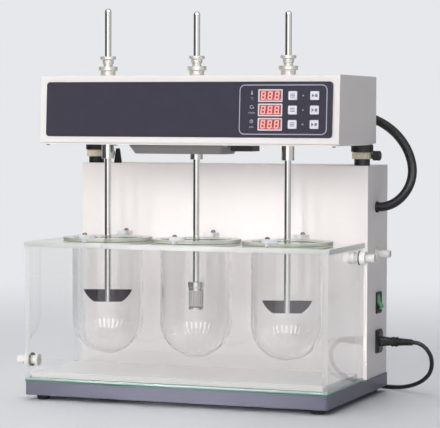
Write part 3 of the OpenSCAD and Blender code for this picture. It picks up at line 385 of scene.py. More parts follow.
def sawn_edge(name, colour, pale, share, saw_mm, rise=None):
    """The sawn and scraped edge of a clear plate: milky, with fine saw lines across it. share is how much
    light goes through. The last argument, when given, is the two heights in mm between which the edge goes
    from its own colour below to pale above: a painted highlight along its top, in place of the saw lines'
    tone."""
    m, t, at = blank(name)
    lines = add(t, "ShaderNodeTexNoise", {"Vector": at, "Scale": 1000 / saw_mm, "Detail": 2.0})
    saw_tone_and_painted_light = lines.outputs["Fac"]
    # With heights given, the tint runs pale towards the top: a painted highlight
    if rise:
        height = add(t, "ShaderNodeSeparateXYZ", {0: at})
        saw_tone_and_painted_light = add(t, "ShaderNodeMapRange", {
            "Value": height.outputs["Z"], "From Min": rise[0] * MM, "From Max": rise[1] * MM},
            interpolation_type="SMOOTHSTEP").outputs["Result"]
    tint = add(t, "ShaderNodeMix", {"Factor": saw_tone_and_painted_light, "A": linear(colour), "B": linear(pale)},
               data_type="RGBA")
    bump = add(t, "ShaderNodeBump", {"Height": lines.outputs["Fac"], "Strength": 0.10, "Distance": 0.0003})
    edge = add(t, "ShaderNodeBsdfPrincipled", {
        "Base Color": tint.outputs["Result"], "Roughness": 0.30, "IOR": 1.15, "Transmission Weight": share,
        "Coat Weight": 0.6, "Coat IOR": 1.49, "Coat Roughness": 0.2, "Normal": bump.outputs["Normal"]})
    let_light_through(t, edge, pale)
    return m


def turned_metal(name, colour, worn, rough, line_mm, metal=1.0):
    """Turned and polished metal: fine lines round the axis, closely spaced up the shaft, that stir its gloss.
    The real lines are finer than 0.2 mm; line_mm is as fine as still shows. A knurl scatters light, which
    metal under 1 gives."""
    run_mm, stain_mm = 100 / 3, 30
    m, t, at = blank(name)
    place = add(t, "ShaderNodeMapping", {
        "Vector": at, "Scale": (1000 / run_mm, 1000 / run_mm, 1000 / line_mm)})
    lines = add(t, "ShaderNodeTexNoise", {"Vector": place.outputs["Vector"], "Scale": 1.0, "Detail": 3.0})
    gloss = add(t, "ShaderNodeMapRange", {
        "Value": lines.outputs["Fac"], "To Min": rough * 0.85, "To Max": rough * 1.2})
    stain = add(t, "ShaderNodeTexNoise", {"Vector": at, "Scale": 1000 / stain_mm, "Detail": 2.0})
    tint = add(t, "ShaderNodeMix", {"Factor": stain.outputs["Fac"], "A": linear(colour), "B": linear(worn)},
               data_type="RGBA")
    bar = add(t, "ShaderNodeBsdfPrincipled", {
        "Base Color": tint.outputs["Result"], "Metallic": metal, "Roughness": gloss.outputs["Result"]})
    add(t, "ShaderNodeOutputMaterial", {"Surface": bar.outputs["BSDF"]})
    return m


def moulded(name, colour, shade, rough, grain_mm, strength=0.12, ior=1.5):
    """Moulded plastic or rubber: one colour with slight flow clouds, and a spark-eroded grain."""
    cloud_mm = 20
    m, t, at = blank(name)
    cloud = add(t, "ShaderNodeTexNoise", {"Vector": at, "Scale": 1000 / cloud_mm, "Detail": 2.0})
    tint = add(t, "ShaderNodeMix", {"Factor": cloud.outputs["Fac"], "A": linear(colour), "B": linear(shade)},
               data_type="RGBA")
    grain = add(t, "ShaderNodeTexNoise", {"Vector": at, "Scale": 1000 / grain_mm, "Detail": 2.0})
    gloss = add(t, "ShaderNodeMapRange", {
        "Value": grain.outputs["Fac"], "To Min": rough - 0.06, "To Max": rough + 0.06})
    bump = add(t, "ShaderNodeBump", {
        "Height": grain.outputs["Fac"], "Strength": strength, "Distance": 0.0003})
    skin = add(t, "ShaderNodeBsdfPrincipled", {
        "Base Color": tint.outputs["Result"], "Roughness": gloss.outputs["Result"], "IOR": ior,
        "Normal": bump.outputs["Normal"]})
    add(t, "ShaderNodeOutputMaterial", {"Surface": skin.outputs["BSDF"]})
    return m


def lit(name, colour, strength, rough=0.2):
    """A lamp behind a tinted plastic lens: its own glow, a little uneven, under a glossy face."""
    patch_mm = 4
    m, t, at = blank(name)
    patch = add(t, "ShaderNodeTexNoise", {"Vector": at, "Scale": 1000 / patch_mm, "Detail": 1.0})
    glow = add(t, "ShaderNodeMapRange", {
        "Value": patch.outputs["Fac"], "To Min": 0.7 * strength, "To Max": 1.2 * strength})
    lens = add(t, "ShaderNodeBsdfPrincipled", {
        "Base Color": linear(colour), "Roughness": rough, "Emission Color": linear(colour),
        "Emission Strength": glow.outputs["Result"]})
    add(t, "ShaderNodeOutputMaterial", {"Surface": lens.outputs["BSDF"]})
    return m


white_coat = powder_coat("white_powder_coated_steel", "#F3EEEB", "#ECE6E2", 0.42)
grey_coat = powder_coat("grey_powder_coated_steel", "#6C6C7B", "#626271", 0.40)
acrylic = clear_sheet("cast_acrylic_polished", "#FEFEFE", 1.49, 0.01, 30)
# The bath floor is drawn mostly white and diffuse: a painted white reflection on a clear plate
acrylic_floor = clear_sheet("cast_acrylic_floor", "#FDFDFD", 1.49, 0.02, 30, 0.30)
acrylic_edge = sawn_edge("cast_acrylic_sawn_edge", "#E6E6E3", "#F5F5F2", 0.85, 2.0)
floor_edge = sawn_edge("cast_acrylic_floor_edge", "#EDEDE8", "#FAFAF6", 0.30, 2.0)
plate_edge = sawn_edge("cast_acrylic_scraped_edge", "#DFE1DE", "#F0F1EE", 0.50, 2.0)
clamp_acrylic = clear_sheet("cast_acrylic_turned", "#F8FAF9", 1.49, 0.06, 8, 0.90)
clamp_edge = sawn_edge("cast_acrylic_turned_rim", "#E9EBEF", "#FAFBFC", 0.60, 2.0)
borosilicate = blown_glass("borosilicate_glass_blown", "#FFFFFF", 1.47, 60)
flange_face = clear_sheet("borosilicate_glass_ground_flat", "#FBFDFC", 1.47, 0.02, 30, 0.90)
flange_edge = sawn_edge("ground_glass_flange_edge", "#B4BCA6", "#CFD6C4", 0.80, 3.0)
# The flange's lower arris is coloured dark olive: a painted shade line under the flange
flange_arris_painted_shade = sawn_edge("ground_glass_flange_arris_painted_shade", "#57604A", "#757D66", 0.35, 3.0)
# The float glass faces are drawn mostly white and diffuse: a painted white reflection on clear glass
float_face_painted_reflection = clear_sheet("float_glass_face_painted_reflection", "#F4F8F6", 1.52, 0.0, 60, 0.30)
# The float glass edge keeps its own green below and is painted pale above: a painted highlight along its top
float_edge_painted_highlight = sawn_edge("float_glass_ground_edge_painted_highlight", "#46735F", "#C6DDD2", 0.30, 3.0, (29.5, 32.5))
steel = turned_metal("stainless_steel_ground_bar", "#EDEBE8", "#DEDCD9", 0.10, 1.0)
# The dome nuts' chrome is coloured darker than chrome is: a painted dark reflection
chrome = turned_metal("chrome_plated_dome_nut", "#9A9792", "#86837E", 0.10, 0.8)
knurled = turned_metal("nickel_plated_brass_knurled", "#E9E6E0", "#DAD7D0", 0.34, 0.8, 0.62)
dull_steel = turned_metal("stainless_steel_wire_cloth", "#6F6C6A", "#585553", 0.30, 0.8)
# The blades' stainless steel is coloured near black: a painted dark reflection, where such steel is pale
# itself
blade_steel_painted_dark = turned_metal("stainless_steel_sheet_painted_dark_reflection", "#3F393F", "#332D34", 0.34, 0.6)
black_abs = moulded("black_abs_moulded", "#1D1D1F", "#161618", 0.45, 0.8)
black_rubber = moulded("black_nitrile_rubber", "#1A1A1B", "#121213", 0.62, 1.2, 0.2)
black_pvc = moulded("black_pvc_sheath_extruded", "#151516", "#0F0F10", 0.40, 1.5, 0.08)
cream_acetal = moulded("cream_acetal_turned", "#E0D7BF", "#D3CAB1", 0.42, 0.9, 0.06)
white_nylon = moulded("white_nylon_turned", "#F4F2EE", "#ECEAE4", 0.40, 1.0, 0.06)
drive_grey = powder_coat("grey_pressed_steel_painted", "#827D7B", "#74706E", 0.42)
motor_black = powder_coat("black_stove_enamelled_steel", "#202124", "#191A1C", 0.42)
brass_pin = turned_metal("nickel_plated_brass_pin", "#C9C4B4", "#B5AF9C", 0.25, 0.8)
panel_film = moulded("charcoal_polycarbonate_film_printed", "#3D3B47", "#373541", 0.30, 1.6, 0.03, 1.3)
print_white = moulded("pale_screen_print", "#B9B9C9", "#ACACBE", 0.45, 0.8, 0.03)
print_dark = moulded("slate_screen_print", "#77798F", "#6B6D84", 0.45, 0.8, 0.03)
key_cap = moulded("lavender_white_abs_key", "#EAE8EF", "#E0DEE7", 0.40, 0.8, 0.05)
display_frame = moulded("white_abs_display_frame", "#E4DCDE", "#D9D0D3", 0.40, 0.8, 0.05)
display_filter = moulded("smoked_red_acrylic_filter", "#9B5560", "#8C4A58", 0.25, 1.2, 0.03)
led_red = lit("red_led_segment", "#F59A90", 0.55)
lamp_off = moulded("clear_indicator_lamp", "#A9A9B8", "#9C9CAC", 0.25, 0.6, 0.03)
rocker_green = lit("green_lit_rocker_lens", "#12834F", 0.30)
rocker_side = moulded("dark_green_rocker_flank", "#0E3B28", "#0A2E1F", 0.3, 0.8, 0.05)
zinc_screw = turned_metal("zinc_plated_screw", "#B9BBC0", "#A3A5AA", 0.30, 0.6)
# Painted shade: a near-black colour for thin slabs laid on screw heads where their slots would be shaded
slot_painted_shade = moulded("screw_slot_painted_shade", "#26272A", "#1E1F22", 0.6, 1.5, 0.1)


# Mains lead and head cable, along the same routes as in the model

LEAD_D, CABLE_D = 6.5, 14.0
ROUTE_STEPS = 4
LEAD_ROUTE = [
    (292.5, 108, 82), (300.3, 108.3, 81.2), (307, 109.2, 78.2), (312.4, 110.7, 73.4), (316.6, 112.5, 67.4),
    (319.2, 114.7, 60.6), (320, 117.1, 53.2), (319.2, 120.3, 45.3), (316.6, 124, 37.6), (312, 128.2, 30.4),
    (305.2, 133.2, 23.8), (296.2, 138.8, 17.6), (285, 145.3, 12.2), (271.8, 152.8, 7.9), (257, 161, 4.9),
    (240.5, 169.8, 3.6), (223.5, 178, 3.3), (205, 184.6, 3.3), (184, 189, 3.3), (160, 191, 3.3),
    (130, 191, 3.3), (98, 191, 3.3), (66, 191, 3.3), (48, 191, 3.3), (38, 191, 3.3)]
COIL_TAIL = [(48, 279, 10.2), (62, 279, 8), (76, 279, 5.6), (90, 279, 5), (104, 279, 5), (118, 279, 5)]
CABLE_ROUTE = [
    (239.5, 95, 290), (251.5, 95.1, 291.4), (263.3, 95.9, 296), (274.2, 97.5, 304.2), (282.6, 100, 315),
    (287.8, 103.5, 327.5), (289.5, 107.7, 340.4), (287.8, 112.5, 353.8), (283, 118, 367.1),
    (275.7, 123.5, 380.2), (266, 128.5, 392.7), (254, 133, 404.3), (239.5, 136.5, 414.7),
    (223.5, 138.6, 422.9), (207.5, 139.2, 429), (192.5, 138.4, 432.4), (179, 136, 433.4), (167, 131.6, 433.5),
    (156.6, 124.2, 433.6), (148.7, 114, 433.7), (143.9, 102, 433.7), (142, 89, 433.8)]

# The stored coil lies in two layers: wound inwards, lifted over a half turn, and wound outwards
COIL_TURNS, POINTS_A_TURN, COIL_CENTRE = 4.5, 24, (38.0, 235.0)
COIL_R, COIL_STEP = 44, 7.2
LOW_LAYER, LAYER_RISE = 3.3, 7.1
LIFT_AT, LIFT_TURNS = 2, 0.5


def coil_point(t):
    """A point on the stored coil, t turns from its start."""
    r = COIL_R - COIL_STEP * min(t, COIL_TURNS - t)
    s = min(max((t - LIFT_AT) / LIFT_TURNS, 0), 1)
    a = math.radians(-90 - 360 * t)
    return Vector((COIL_CENTRE[0] + r * math.cos(a), COIL_CENTRE[1] + r * math.sin(a),
                   LOW_LAYER + LAYER_RISE * s * s * (3 - 2 * s)))


def lay_lead():
    """The mains lead as one curve: loop, floor run, coil and tail."""
    path = eased(LEAD_ROUTE, ROUTE_STEPS)
    path += [coil_point(i / POINTS_A_TURN) for i in range(1, int(COIL_TURNS * POINTS_A_TURN) + 1)]
    path += [Vector(p) for p in COIL_TAIL]
    curve = bpy.data.curves.new("mains_lead", "CURVE")
    curve.dimensions = "3D"
    line = curve.splines.new("POLY")
    line.points.add(len(path) - 1)
    for p, v in zip(line.points, path):
        p.co = (*(v * MM), 1)
    curve.bevel_depth = LEAD_D / 2 * MM
    curve.bevel_resolution = 4
    curve.use_fill_caps = True
    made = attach(linked("mains_lead", curve, [black_pvc]), "stand")
    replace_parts(made, "mains_cord", "cord_coil")
    return made, length_of(path) * MM


def arch(near, far, top, corner):
    """The upper outline of a strap that spans from near to far, with cut corners, just clear of the floor."""
    foot = 0.05
    return [(near, foot), (near, top - corner), (near + corner, top),
            (far - corner, top), (far, top - corner), (far, foot)]


def tie_coil():
    """A strap over the coil, at the side away from the lead's ends."""
    side, width, thick = math.radians(165), 7, 1
    near, far, top, corner, inner_corner = 23, 49.5, 15, 3, 2.4
    out, along = Vector((math.cos(side), math.sin(side), 0)), Vector((-math.sin(side), math.cos(side), 0))
    place = Matrix((out, Vector((0, 0, 1)), along)).transposed().to_4x4()
    place.translation = Vector((*COIL_CENTRE, 0))
    outer = arch(near, far, top, corner)
    inner = arch(near + thick, far - thick, top - thick, inner_corner)
    bm = bmesh.new()
    slab(bm, outer + inner[::-1], -width / 2, width / 2, place)
    bmesh.ops.recalc_face_normals(bm, faces=bm.faces)
    return piece("coil_strap", bm, [black_rubber], "stand")


def hang_cable():
    """The cable from column to head as a fixed tube along its route at rest; the real cable bends as the head
    lifts.
    """
    path = eased(CABLE_ROUTE, ROUTE_STEPS)
    bm = bmesh.new()
    tube(bm, path, CABLE_D / 2, sides=24)
    settle(bm, angle=60)
    mesh = bpy.data.meshes.new("head_cable_sheath")
    bm.to_mesh(mesh)
    bm.free()
    made = linked("head_cable_sheath", mesh, [black_pvc])
    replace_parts(made, "head_cable")
    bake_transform(made)


lead, lead_length = lay_lead()
strap = tie_coil()
hang_cable()


# Housings, bath and vessels

dressed("base_tray", [grey_coat], 1.2, 3)
dressed("column_shell", [white_coat], 0.8, 3)
dressed("column_back_cover", [white_coat], 0.4, 2)
dressed("head_shell", [white_coat], 0.9, 3)
dressed("head_bottom_plate", [white_coat], 0.4)
dressed("feet", [black_rubber], 1.0, 3)
dressed("limit_buffer", [black_rubber], 1.2, 3)


def tank_face(c, n):
    """Edges of the bonded plates are sawn, and their faces polished; the floor plate is drawn milky white, a
    painted reflection.
    """
    sheet, near = 8, 1
    upper = abs(n.z) > 0.5 and c.z > bath_z1 - 2 * near
    at_end = c.y < bath_y0 + near or c.y > bath_y1 - near
    side_end = abs(n.y) > 0.5 and abs(c.x) > bath_x1 - sheet - near and at_end
    floor = (c.z < bath_z0 + sheet + near / 2 and abs(c.x) < bath_x1 - sheet
             and bath_y0 + sheet < c.y < bath_y1 - sheet)
    if floor:
        return 3 if abs(n.z) < 0.5 else 2
    return int(upper or side_end)


def plate_face(c, n):
    """The vessel plate's outer edge is scraped; its faces and holes are polished."""
    near = 1
    outside = abs(c.x) > bath_x1 or c.y < bath_y0 + near or c.y > bath_y1 - near
    return int(abs(n.z) < 0.5 and outside)


dressed("bath_tank", [acrylic, acrylic_edge, acrylic_floor, floor_edge], 0.4, 2, tank_face)
dressed("vessel_plate", [acrylic, plate_edge], 0.4, 2, plate_face)
dressed("glass_plate", [float_face_painted_reflection, float_edge_painted_highlight], 0.5, 2, lambda c, n: int(abs(n.z) < 0.5))


def blow_vessel(side):
    """A blown vessel: an even wall, a half-round bottom, and a ground flange joined by a soft neck."""
    node = f"vessel_{side}"
    (_, _, low), (_, _, top) = box_mm(node)
    outer, wall, lip, flange, arris, arc = 54.0, 3.0, 68.0, 5.0, 0.7, 24
    neck = [(0, 5), (0.5, 2), (1.6, 0.5), (3, 0)]
    mouth = [(5, 0), (2, 0.7), (0.5, 2.2), (0, 5)]
    middle, under, inner = low + outer, top - flange, outer - wall
    curve = [math.pi / 2 * k / arc for k in range(arc + 1)]
    profile = [(outer * math.sin(a), middle - outer * math.cos(a)) for a in curve]
    profile += [(outer + out, under - down) for out, down in neck]
    profile += [(lip - arris, under), (lip, under + arris), (lip, top - arris), (lip - arris, top)]
    profile += [(inner + out, top - down) for out, down in mouth]
    profile += [(inner * math.cos(a), middle - inner * math.sin(a)) for a in curve]
    bm = bmesh.new()
    turned(bm, profile, Matrix.Translation((AXES[side], AXIS_Y, 0)), segments=128)
    bmesh.ops.recalc_face_normals(bm, faces=bm.faces)
    edge_from, flange_from = lip - 0.5, under - 6
    for f in bm.faces:
        c = f.calc_center_median() / MM
        if math.hypot(c.x - AXES[side], c.y - AXIS_Y) > edge_from:
            # The lower arris takes the dark painted-shade colour; the rest of the rim takes the pale edge
            # colour
            f.material_index = 3 if c.z < under + arris else 2
        else:
            f.material_index = int(c.z > flange_from)
    glass = [borosilicate, flange_face, flange_edge, flange_arris_painted_shade]
    made = piece(node + "_blown", bm, glass, "stand", angle=60)
    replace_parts(made, node)


for side in AXES:
    blow_vessel(side)
    for row in ("front", "rear"):
        dressed(f"clamp_{row}_{side}", [clamp_acrylic, clamp_edge], 0.7, 2, lambda c, n: int(abs(n.z) < 0.9))
dressed("clamp_screws", [chrome], 0.25, 2)


# Lift: the posts' flanges under the head are coloured black, painted shade under the head

POST_FLANGE_Z = 374.5
dressed("guide_bushes", [black_abs], 0.8, 2)
dressed("lock_collars", [cream_acetal], 0.9, 3)
for side in ("left", "right"):
    dressed(f"lock_knob_{side}", [black_abs], 0.5, 2)
# Above the flange's foot the steel post is coloured black: painted shade where the head overhangs it
dressed("lift_posts", [steel, black_abs], 0.6, 2, lambda c, n: int(c.z > POST_FLANGE_Z))


# Spigots, switch, inlet, plugs and glands: a spigot has its place on a wall, which way it is turned, and
# how far out its thread starts. The wall plug's pins are bare metal

SPIGOTS = [((BATH_SIDE, -1.5, 217.5), 0, 10.2), ((-BATH_SIDE, -130, 58.5), math.pi, 10.2),
           ((COLUMN_SIDE, 95, 218.5), 0, 5.0)]
PINS_X, PINS_Y = 168.2, 250


def thread_spigots():
    """Turned threads next to each spigot's flange."""
    hidden_r, lead_in, pitch, turns, long = 5.9, 0.3, 1.3, 5, 7
    thread = [(6.0, 0), (6.35, 0.35), (6.35, 0.65), (6.0, 1.0)]
    bm = bmesh.new()
    for wall, turn, start in SPIGOTS:
        profile = [(hidden_r, start)]
        for k in range(turns):
            profile += [(r, start + lead_in + pitch * k + up) for r, up in thread]
        place = Matrix.Translation(wall) @ Matrix.Rotation(turn, 4, "Z") @ OUT_X
        turned(bm, profile + [(hidden_r, start + long)], place, segments=40)
    made = piece("spigot_threads", bm, [white_nylon], "stand", angle=20)


dressed("hose_spigots", [white_nylon], 0.7, 2)
thread_spigots()
dressed("spigot_gaskets", [black_rubber], 0.2)
dressed("power_entry", [black_abs], 0.6, 2)
dressed("switch_rocker", [rocker_green, rocker_side], 0.5, 2, lambda c, n: int(abs(n.x) < 0.5))
dressed("column_gland", [black_rubber], 0.9, 3)
dressed("head_gland", [black_rubber], 0.9, 3)
plugs = dressed("lead_plugs", [black_pvc, brass_pin], 1.0, 3, lambda c, n: int(c.x > PINS_X and c.y > PINS_Y))


def mark_rocker():
    """On and off marks on the two halves of the rocker, which stands tilted about its pivot."""
    depth, tilt, dip, half = 4, 16, 3, 13.2
    mark_y, mark_z, thick = 5.4, 3.25, 0.15
    bar_w, bar_h, bar_r, ring_d, hole_d = 1.4, 6, 0.4, 5.6, 3.4
    pivot = Matrix.Translation((0, 0, -depth))
    place = (Matrix.Translation((COLUMN_SIDE, POWER_Y, SWITCH_Z)) @ OUT_X @ pivot
             @ Matrix.Rotation(math.radians(-tilt), 4, "X") @ pivot.inverted())
    slope = math.atan(dip / half)
    upper = place @ Matrix.Translation((0, mark_y, mark_z)) @ Matrix.Rotation(slope, 4, "X")
    lower = place @ Matrix.Translation((0, -mark_y, mark_z)) @ Matrix.Rotation(-slope, 4, "X")
    bm = bmesh.new()
    slab(bm, rounded(bar_w, bar_h, bar_r), 0, thick, upper)
    rim(bm, rounded(ring_d, ring_d, ring_d / 2), rounded(hole_d, hole_d, hole_d / 2), 0, thick, lower)
    bmesh.ops.recalc_face_normals(bm, faces=bm.faces)
    piece("rocker_marks", bm, [print_white], "rocker")


def rib_plug():
    """Moulded ribs on the appliance plug's collar and on its bend relief, which tapers to the lead."""
    collar_at, collar_rib = (23.4, 29.6), 2
    collar_out, collar_in = rounded(17.0, 14.6, 4.6), rounded(14.8, 12.2, 3.6)
    relief_at, relief_long, relief_r, taper = 31.5, 24.5, 5.5, 1.25
    ribs, first_rib, rib_step = 7, 33.6, 3.3
    section = [(-0.4, -1.0), (0.8, -0.6), (0.8, 0.6), (-0.4, 1.0)]
    place = Matrix.Translation((COLUMN_SIDE, POWER_Y, INLET_Z)) @ OUT_X
    bm = bmesh.new()
    for at in collar_at:
        rim(bm, collar_out, collar_in, at, at + collar_rib, place)
    for k in range(ribs):
        at = first_rib + rib_step * k
        r = relief_r - taper * (at - relief_at) / relief_long
        turned(bm, [(r + out, at + up) for out, up in section], place, segments=32)
    bmesh.ops.recalc_face_normals(bm, faces=bm.faces)
    made = piece("plug_ribs", bm, [black_pvc], "stand", angle=25)
    return made


mark_rocker()
ribs = rib_plug()


# Control panel: heights above the head's front face, and places across it

PANEL_TOP, KEY_TOP = 2.0, 3.0
PRINTED = (PANEL_TOP, PANEL_TOP + 0.06)
FIGURES = (PANEL_TOP, PANEL_TOP + 0.1)
SIGN_X, DISPLAY_X, FIGURE_X, LAMP_X = 103.7, 132.5, 132.0, 182.9
dressed("front_panel", [panel_film], 0.35, 2)
dressed("display_windows", [display_filter], 0.2)


def draw_thermometer(bm, x, y):
    """A bulb with its stem."""
    bulb, stem_w, stem_h, stem_r, stem_rise = 2.8, 1.2, 4.2, 0.5, 1
    slab(bm, rounded(bulb, bulb, bulb / 2, x, y - bulb / 2), *PRINTED, FRONT)
    slab(bm, rounded(stem_w, stem_h, stem_r, x, y + stem_rise), *PRINTED, FRONT)


def draw_turning(bm, x, y):
    """An open ring with an arrow head."""
    outer, inner, opening, sweep, steps = 2.7, 1.9, 40, 280, 20
    arrow = [(1.3, -1.6), (3.9, -1.6), (2.6, 0.8)]
    arc = [math.radians(opening + sweep * k / steps) for k in range(steps + 1)]
    slab(bm, [(x + outer * math.cos(a), y + outer * math.sin(a)) for a in arc]
         + [(x + inner * math.cos(a), y + inner * math.sin(a)) for a in arc[::-1]], *PRINTED, FRONT)
    slab(bm, [(x + u, y + v) for u, v in arrow], *PRINTED, FRONT)


def draw_clock(bm, x, y):
    """A ring with two hands."""
    outer, inner, hand, long_hand, short_hand, tip = 5.4, 4.0, 0.7, 2.0, 1.6, 0.2
    up, aside = 0.9, 0.6
    ring = [rounded(size, size, size / 2, x, y) for size in (outer, inner)]
    rim(bm, *ring, *PRINTED, FRONT)
    slab(bm, rounded(hand, long_hand, tip, x, y + up), *PRINTED, FRONT)
    slab(bm, rounded(short_hand, hand, tip, x + aside, y), *PRINTED, FRONT)


def print_panel():
    """The printed frame round the controls, and a unit under its sign beside each display."""
    middle, w, h, r, line = (152, 51), 134, 72, 7.5, 1.3
    letter, unit_drop, sign_rise = 4.6, 4.0, 4.2
    signs = {"top": ("°C", draw_thermometer), "middle": ("r/min", draw_turning),
             "bottom": ("min", draw_clock)}
    border = [rounded(w + grow, h + grow, r + grow / 2, *middle) for grow in (line, -line)]
    bm = bmesh.new()
    rim(bm, *border, *PRINTED, FRONT)
    for row, (unit, draw) in signs.items():
        words(bm, unit, letter, SIGN_X, ROWS[row] - unit_drop, PRINTED[1], FRONT)
        draw(bm, SIGN_X, ROWS[row] + sign_rise)
    bmesh.ops.recalc_face_normals(bm, faces=bm.faces)
    piece("panel_print", bm, [print_white], "head")


def frame_displays():
    """A white frame round each display window."""
    w, h, border, low, high = 33.6, 14.6, 4, 1.6, 2.6
    outer_r, inner_r = 1.2, 0.6
    bm = bmesh.new()
    for y in ROWS.values():
        outer = rounded(w + border, h + border, outer_r, DISPLAY_X, y)
        rim(bm, outer, rounded(w, h, inner_r, DISPLAY_X, y), low, high, FRONT)
    bmesh.ops.recalc_face_normals(bm, faces=bm.faces)
    piece("display_frames", bm, [display_frame], "head")


def draw_figure(bm, x, y):
    """A figure eight of seven bars, leaning a little to the right."""
    w, h, t, gap, slant = 7.2, 12.2, 1.9, 0.22, 0.08
    half = h / 2
    bars = [(-w / 2 + t / 2 + gap, w / 2 - t / 2 - gap, v - t / 2, v + t / 2)
            for v in (-half + t / 2, 0, half - t / 2)]
    for u in (-w / 2 + t / 2, w / 2 - t / 2):
        bars += [(u - t / 2, u + t / 2, gap, half - gap), (u - t / 2, u + t / 2, -half + gap, -gap)]
    for x0, x1, y0, y1 in bars:
        corners = ((x0, y0), (x1, y0), (x1, y1), (x0, y1))
        slab(bm, [(x + u + slant * v, y + v) for u, v in corners], *FIGURES, FRONT)


def light_displays():
    """Three lit figures in each display, each with its point."""
    step, point, point_r, point_x, point_y = 10.6, 1.5, 0.74, 5.0, -5.4
    bm = bmesh.new()
    for y in ROWS.values():
        for k in (-1, 0, 1):
            x = FIGURE_X + step * k
            draw_figure(bm, x, y)
            slab(bm, rounded(point, point, point_r, x + point_x, y + point_y), *FIGURES, FRONT)
    bmesh.ops.recalc_face_normals(bm, faces=bm.faces)
    piece("display_digits", bm, [led_red], "head")


def fit_lamps():
    """A small domed indicator lamp between the keys of each row."""
    dome = [(1.3, 1.9), (1.3, 2.2), (1.0, 2.6), (0.5, 2.8), (0, 2.85)]
    bm = bmesh.new()
    for y in ROWS.values():
        turned(bm, dome, FRONT @ Matrix.Translation((LAMP_X, y, 0)), segments=16)
    piece("indicator_lamps", bm, [lamp_off], "head", angle=60)


print_panel()
frame_displays()
light_displays()
fit_lamps()


def mark_key(row, side):
    """A printed sign on a key: bars on the setting keys, a start and stop sign on the others."""
    x, y, low, high = KEY_X[side], ROWS[row], KEY_TOP, KEY_TOP + 0.05
    bar_w, bar_h, bar_step, corner = 7.0, 1.1, 2.3, 0.3
    arrow_tail, arrow_tip, arrow_half, stop_x, stop_w, stop_h = -4.2, -0.2, 2.8, 2.6, 3.6, 4.4
    bm = bmesh.new()
    if side == "left":
        for k in (-1, 0, 1):
            slab(bm, rounded(bar_w, bar_h, corner, x, y + bar_step * k), low, high, FRONT)
    else:
        arrow = [(x + arrow_tail, y - arrow_half), (x + arrow_tip, y), (x + arrow_tail, y + arrow_half)]
        slab(bm, arrow, low, high, FRONT)
        slab(bm, rounded(stop_w, stop_h, corner, x + stop_x, y), low, high, FRONT)
    bmesh.ops.recalc_face_normals(bm, faces=bm.faces)
    piece(f"key_sign_{row}_{side}", bm, [print_dark], f"key_{row}_{side}")


for row in ROWS:
    for side in KEY_X:
        dressed(f"key_{row}_{side}", [key_cap], 0.6, 3)
        mark_key(row, side)


# Drive and stirrers: a spindle is knurled where its chuck ring stands above the head

RING_Z = 480
dressed("drive_pan", [drive_grey], 1.5, 3)
dressed("drive_motor", [motor_black], 0.8, 2)
dressed("bearing_housings", [drive_grey], 0.6, 2)
dressed("drive_belts", [black_rubber], 0.2)
dressed("water_heater", [dull_steel], 1.0, 2)
for side in AXES:
    dressed(f"spindle_{side}", [steel, knurled], 0.4, 2, lambda c, n: int(c.z > RING_Z))
    dressed(f"chuck_nut_{side}", [knurled], 0.4, 2)
    dressed(f"shaft_{side}", [steel], 0.15, 1)
for side in ("left", "right"):
    dressed(f"blade_{side}", [blade_steel_painted_dark], 0.3, 2)


def weave_basket():
    """The basket's wire cage between two plain rims, over a woven floor."""
    (_, _, low), (_, _, top) = box_mm("basket")
    centre = Vector((AXES["middle"], AXIS_Y, 0))
    radius, wire, upright, levels, facets = 10.8, 0.18, 24, 8, 32
    rim_in, rim_out, low_rim, top_rim = 10.35, 11.25, low + 3.2, top - 4
    wire_low, wire_top, first_level, last_level = low_rim - 0.7, top_rim + 1, low + 4.4, top - 5.2
    floor_r, floor_step, floor_wires, floor_z, cross_z = 10.6, 2.3, range(-4, 5), low + 0.6, low + 1.1
    bm = bmesh.new()
    for z0, z1 in ((low, low_rim), (top_rim, top)):
        ring = [(rim_in, z0), (rim_out, z0), (rim_out, z1), (rim_in, z1), (rim_in, z0)]
        turned(bm, ring, Matrix.Translation(centre), segments=48)
    for k in range(upright):
        a = math.tau * k / upright
        spot = centre + Vector((radius * math.cos(a), radius * math.sin(a), 0))
        tube(bm, [spot + Vector((0, 0, wire_low)), spot + Vector((0, 0, wire_top))], wire, sides=5)
    for k in range(levels):
        z = first_level + (last_level - first_level) * k / (levels - 1)
        turns = [math.tau * i / facets for i in range(facets + 1)]
        hoop = [centre + Vector((radius * math.cos(a), radius * math.sin(a), z)) for a in turns]
        tube(bm, hoop, wire, sides=4)
    for k in floor_wires:
        u = floor_step * k
        half = math.sqrt(floor_r ** 2 - u ** 2)
        tube(bm, [centre + Vector((u, -half, floor_z)), centre + Vector((u, half, floor_z))], wire, sides=4)
        tube(bm, [centre + Vector((-half, u, cross_z)), centre + Vector((half, u, cross_z))], wire, sides=4)
    bmesh.ops.recalc_face_normals(bm, faces=bm.faces)
    near, rim_from = 0.1, 10.2
    for f in bm.faces:
        c = f.calc_center_median() / MM
        in_rims = not low_rim + near < c.z < top_rim - near
        f.material_index = int(in_rims and math.hypot(c.x - AXES["middle"], c.y - AXIS_Y) > rim_from)
    made = piece("basket_wire", bm, [dull_steel, steel], "stirrer_middle", angle=50)
    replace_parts(made, "basket")


weave_basket()


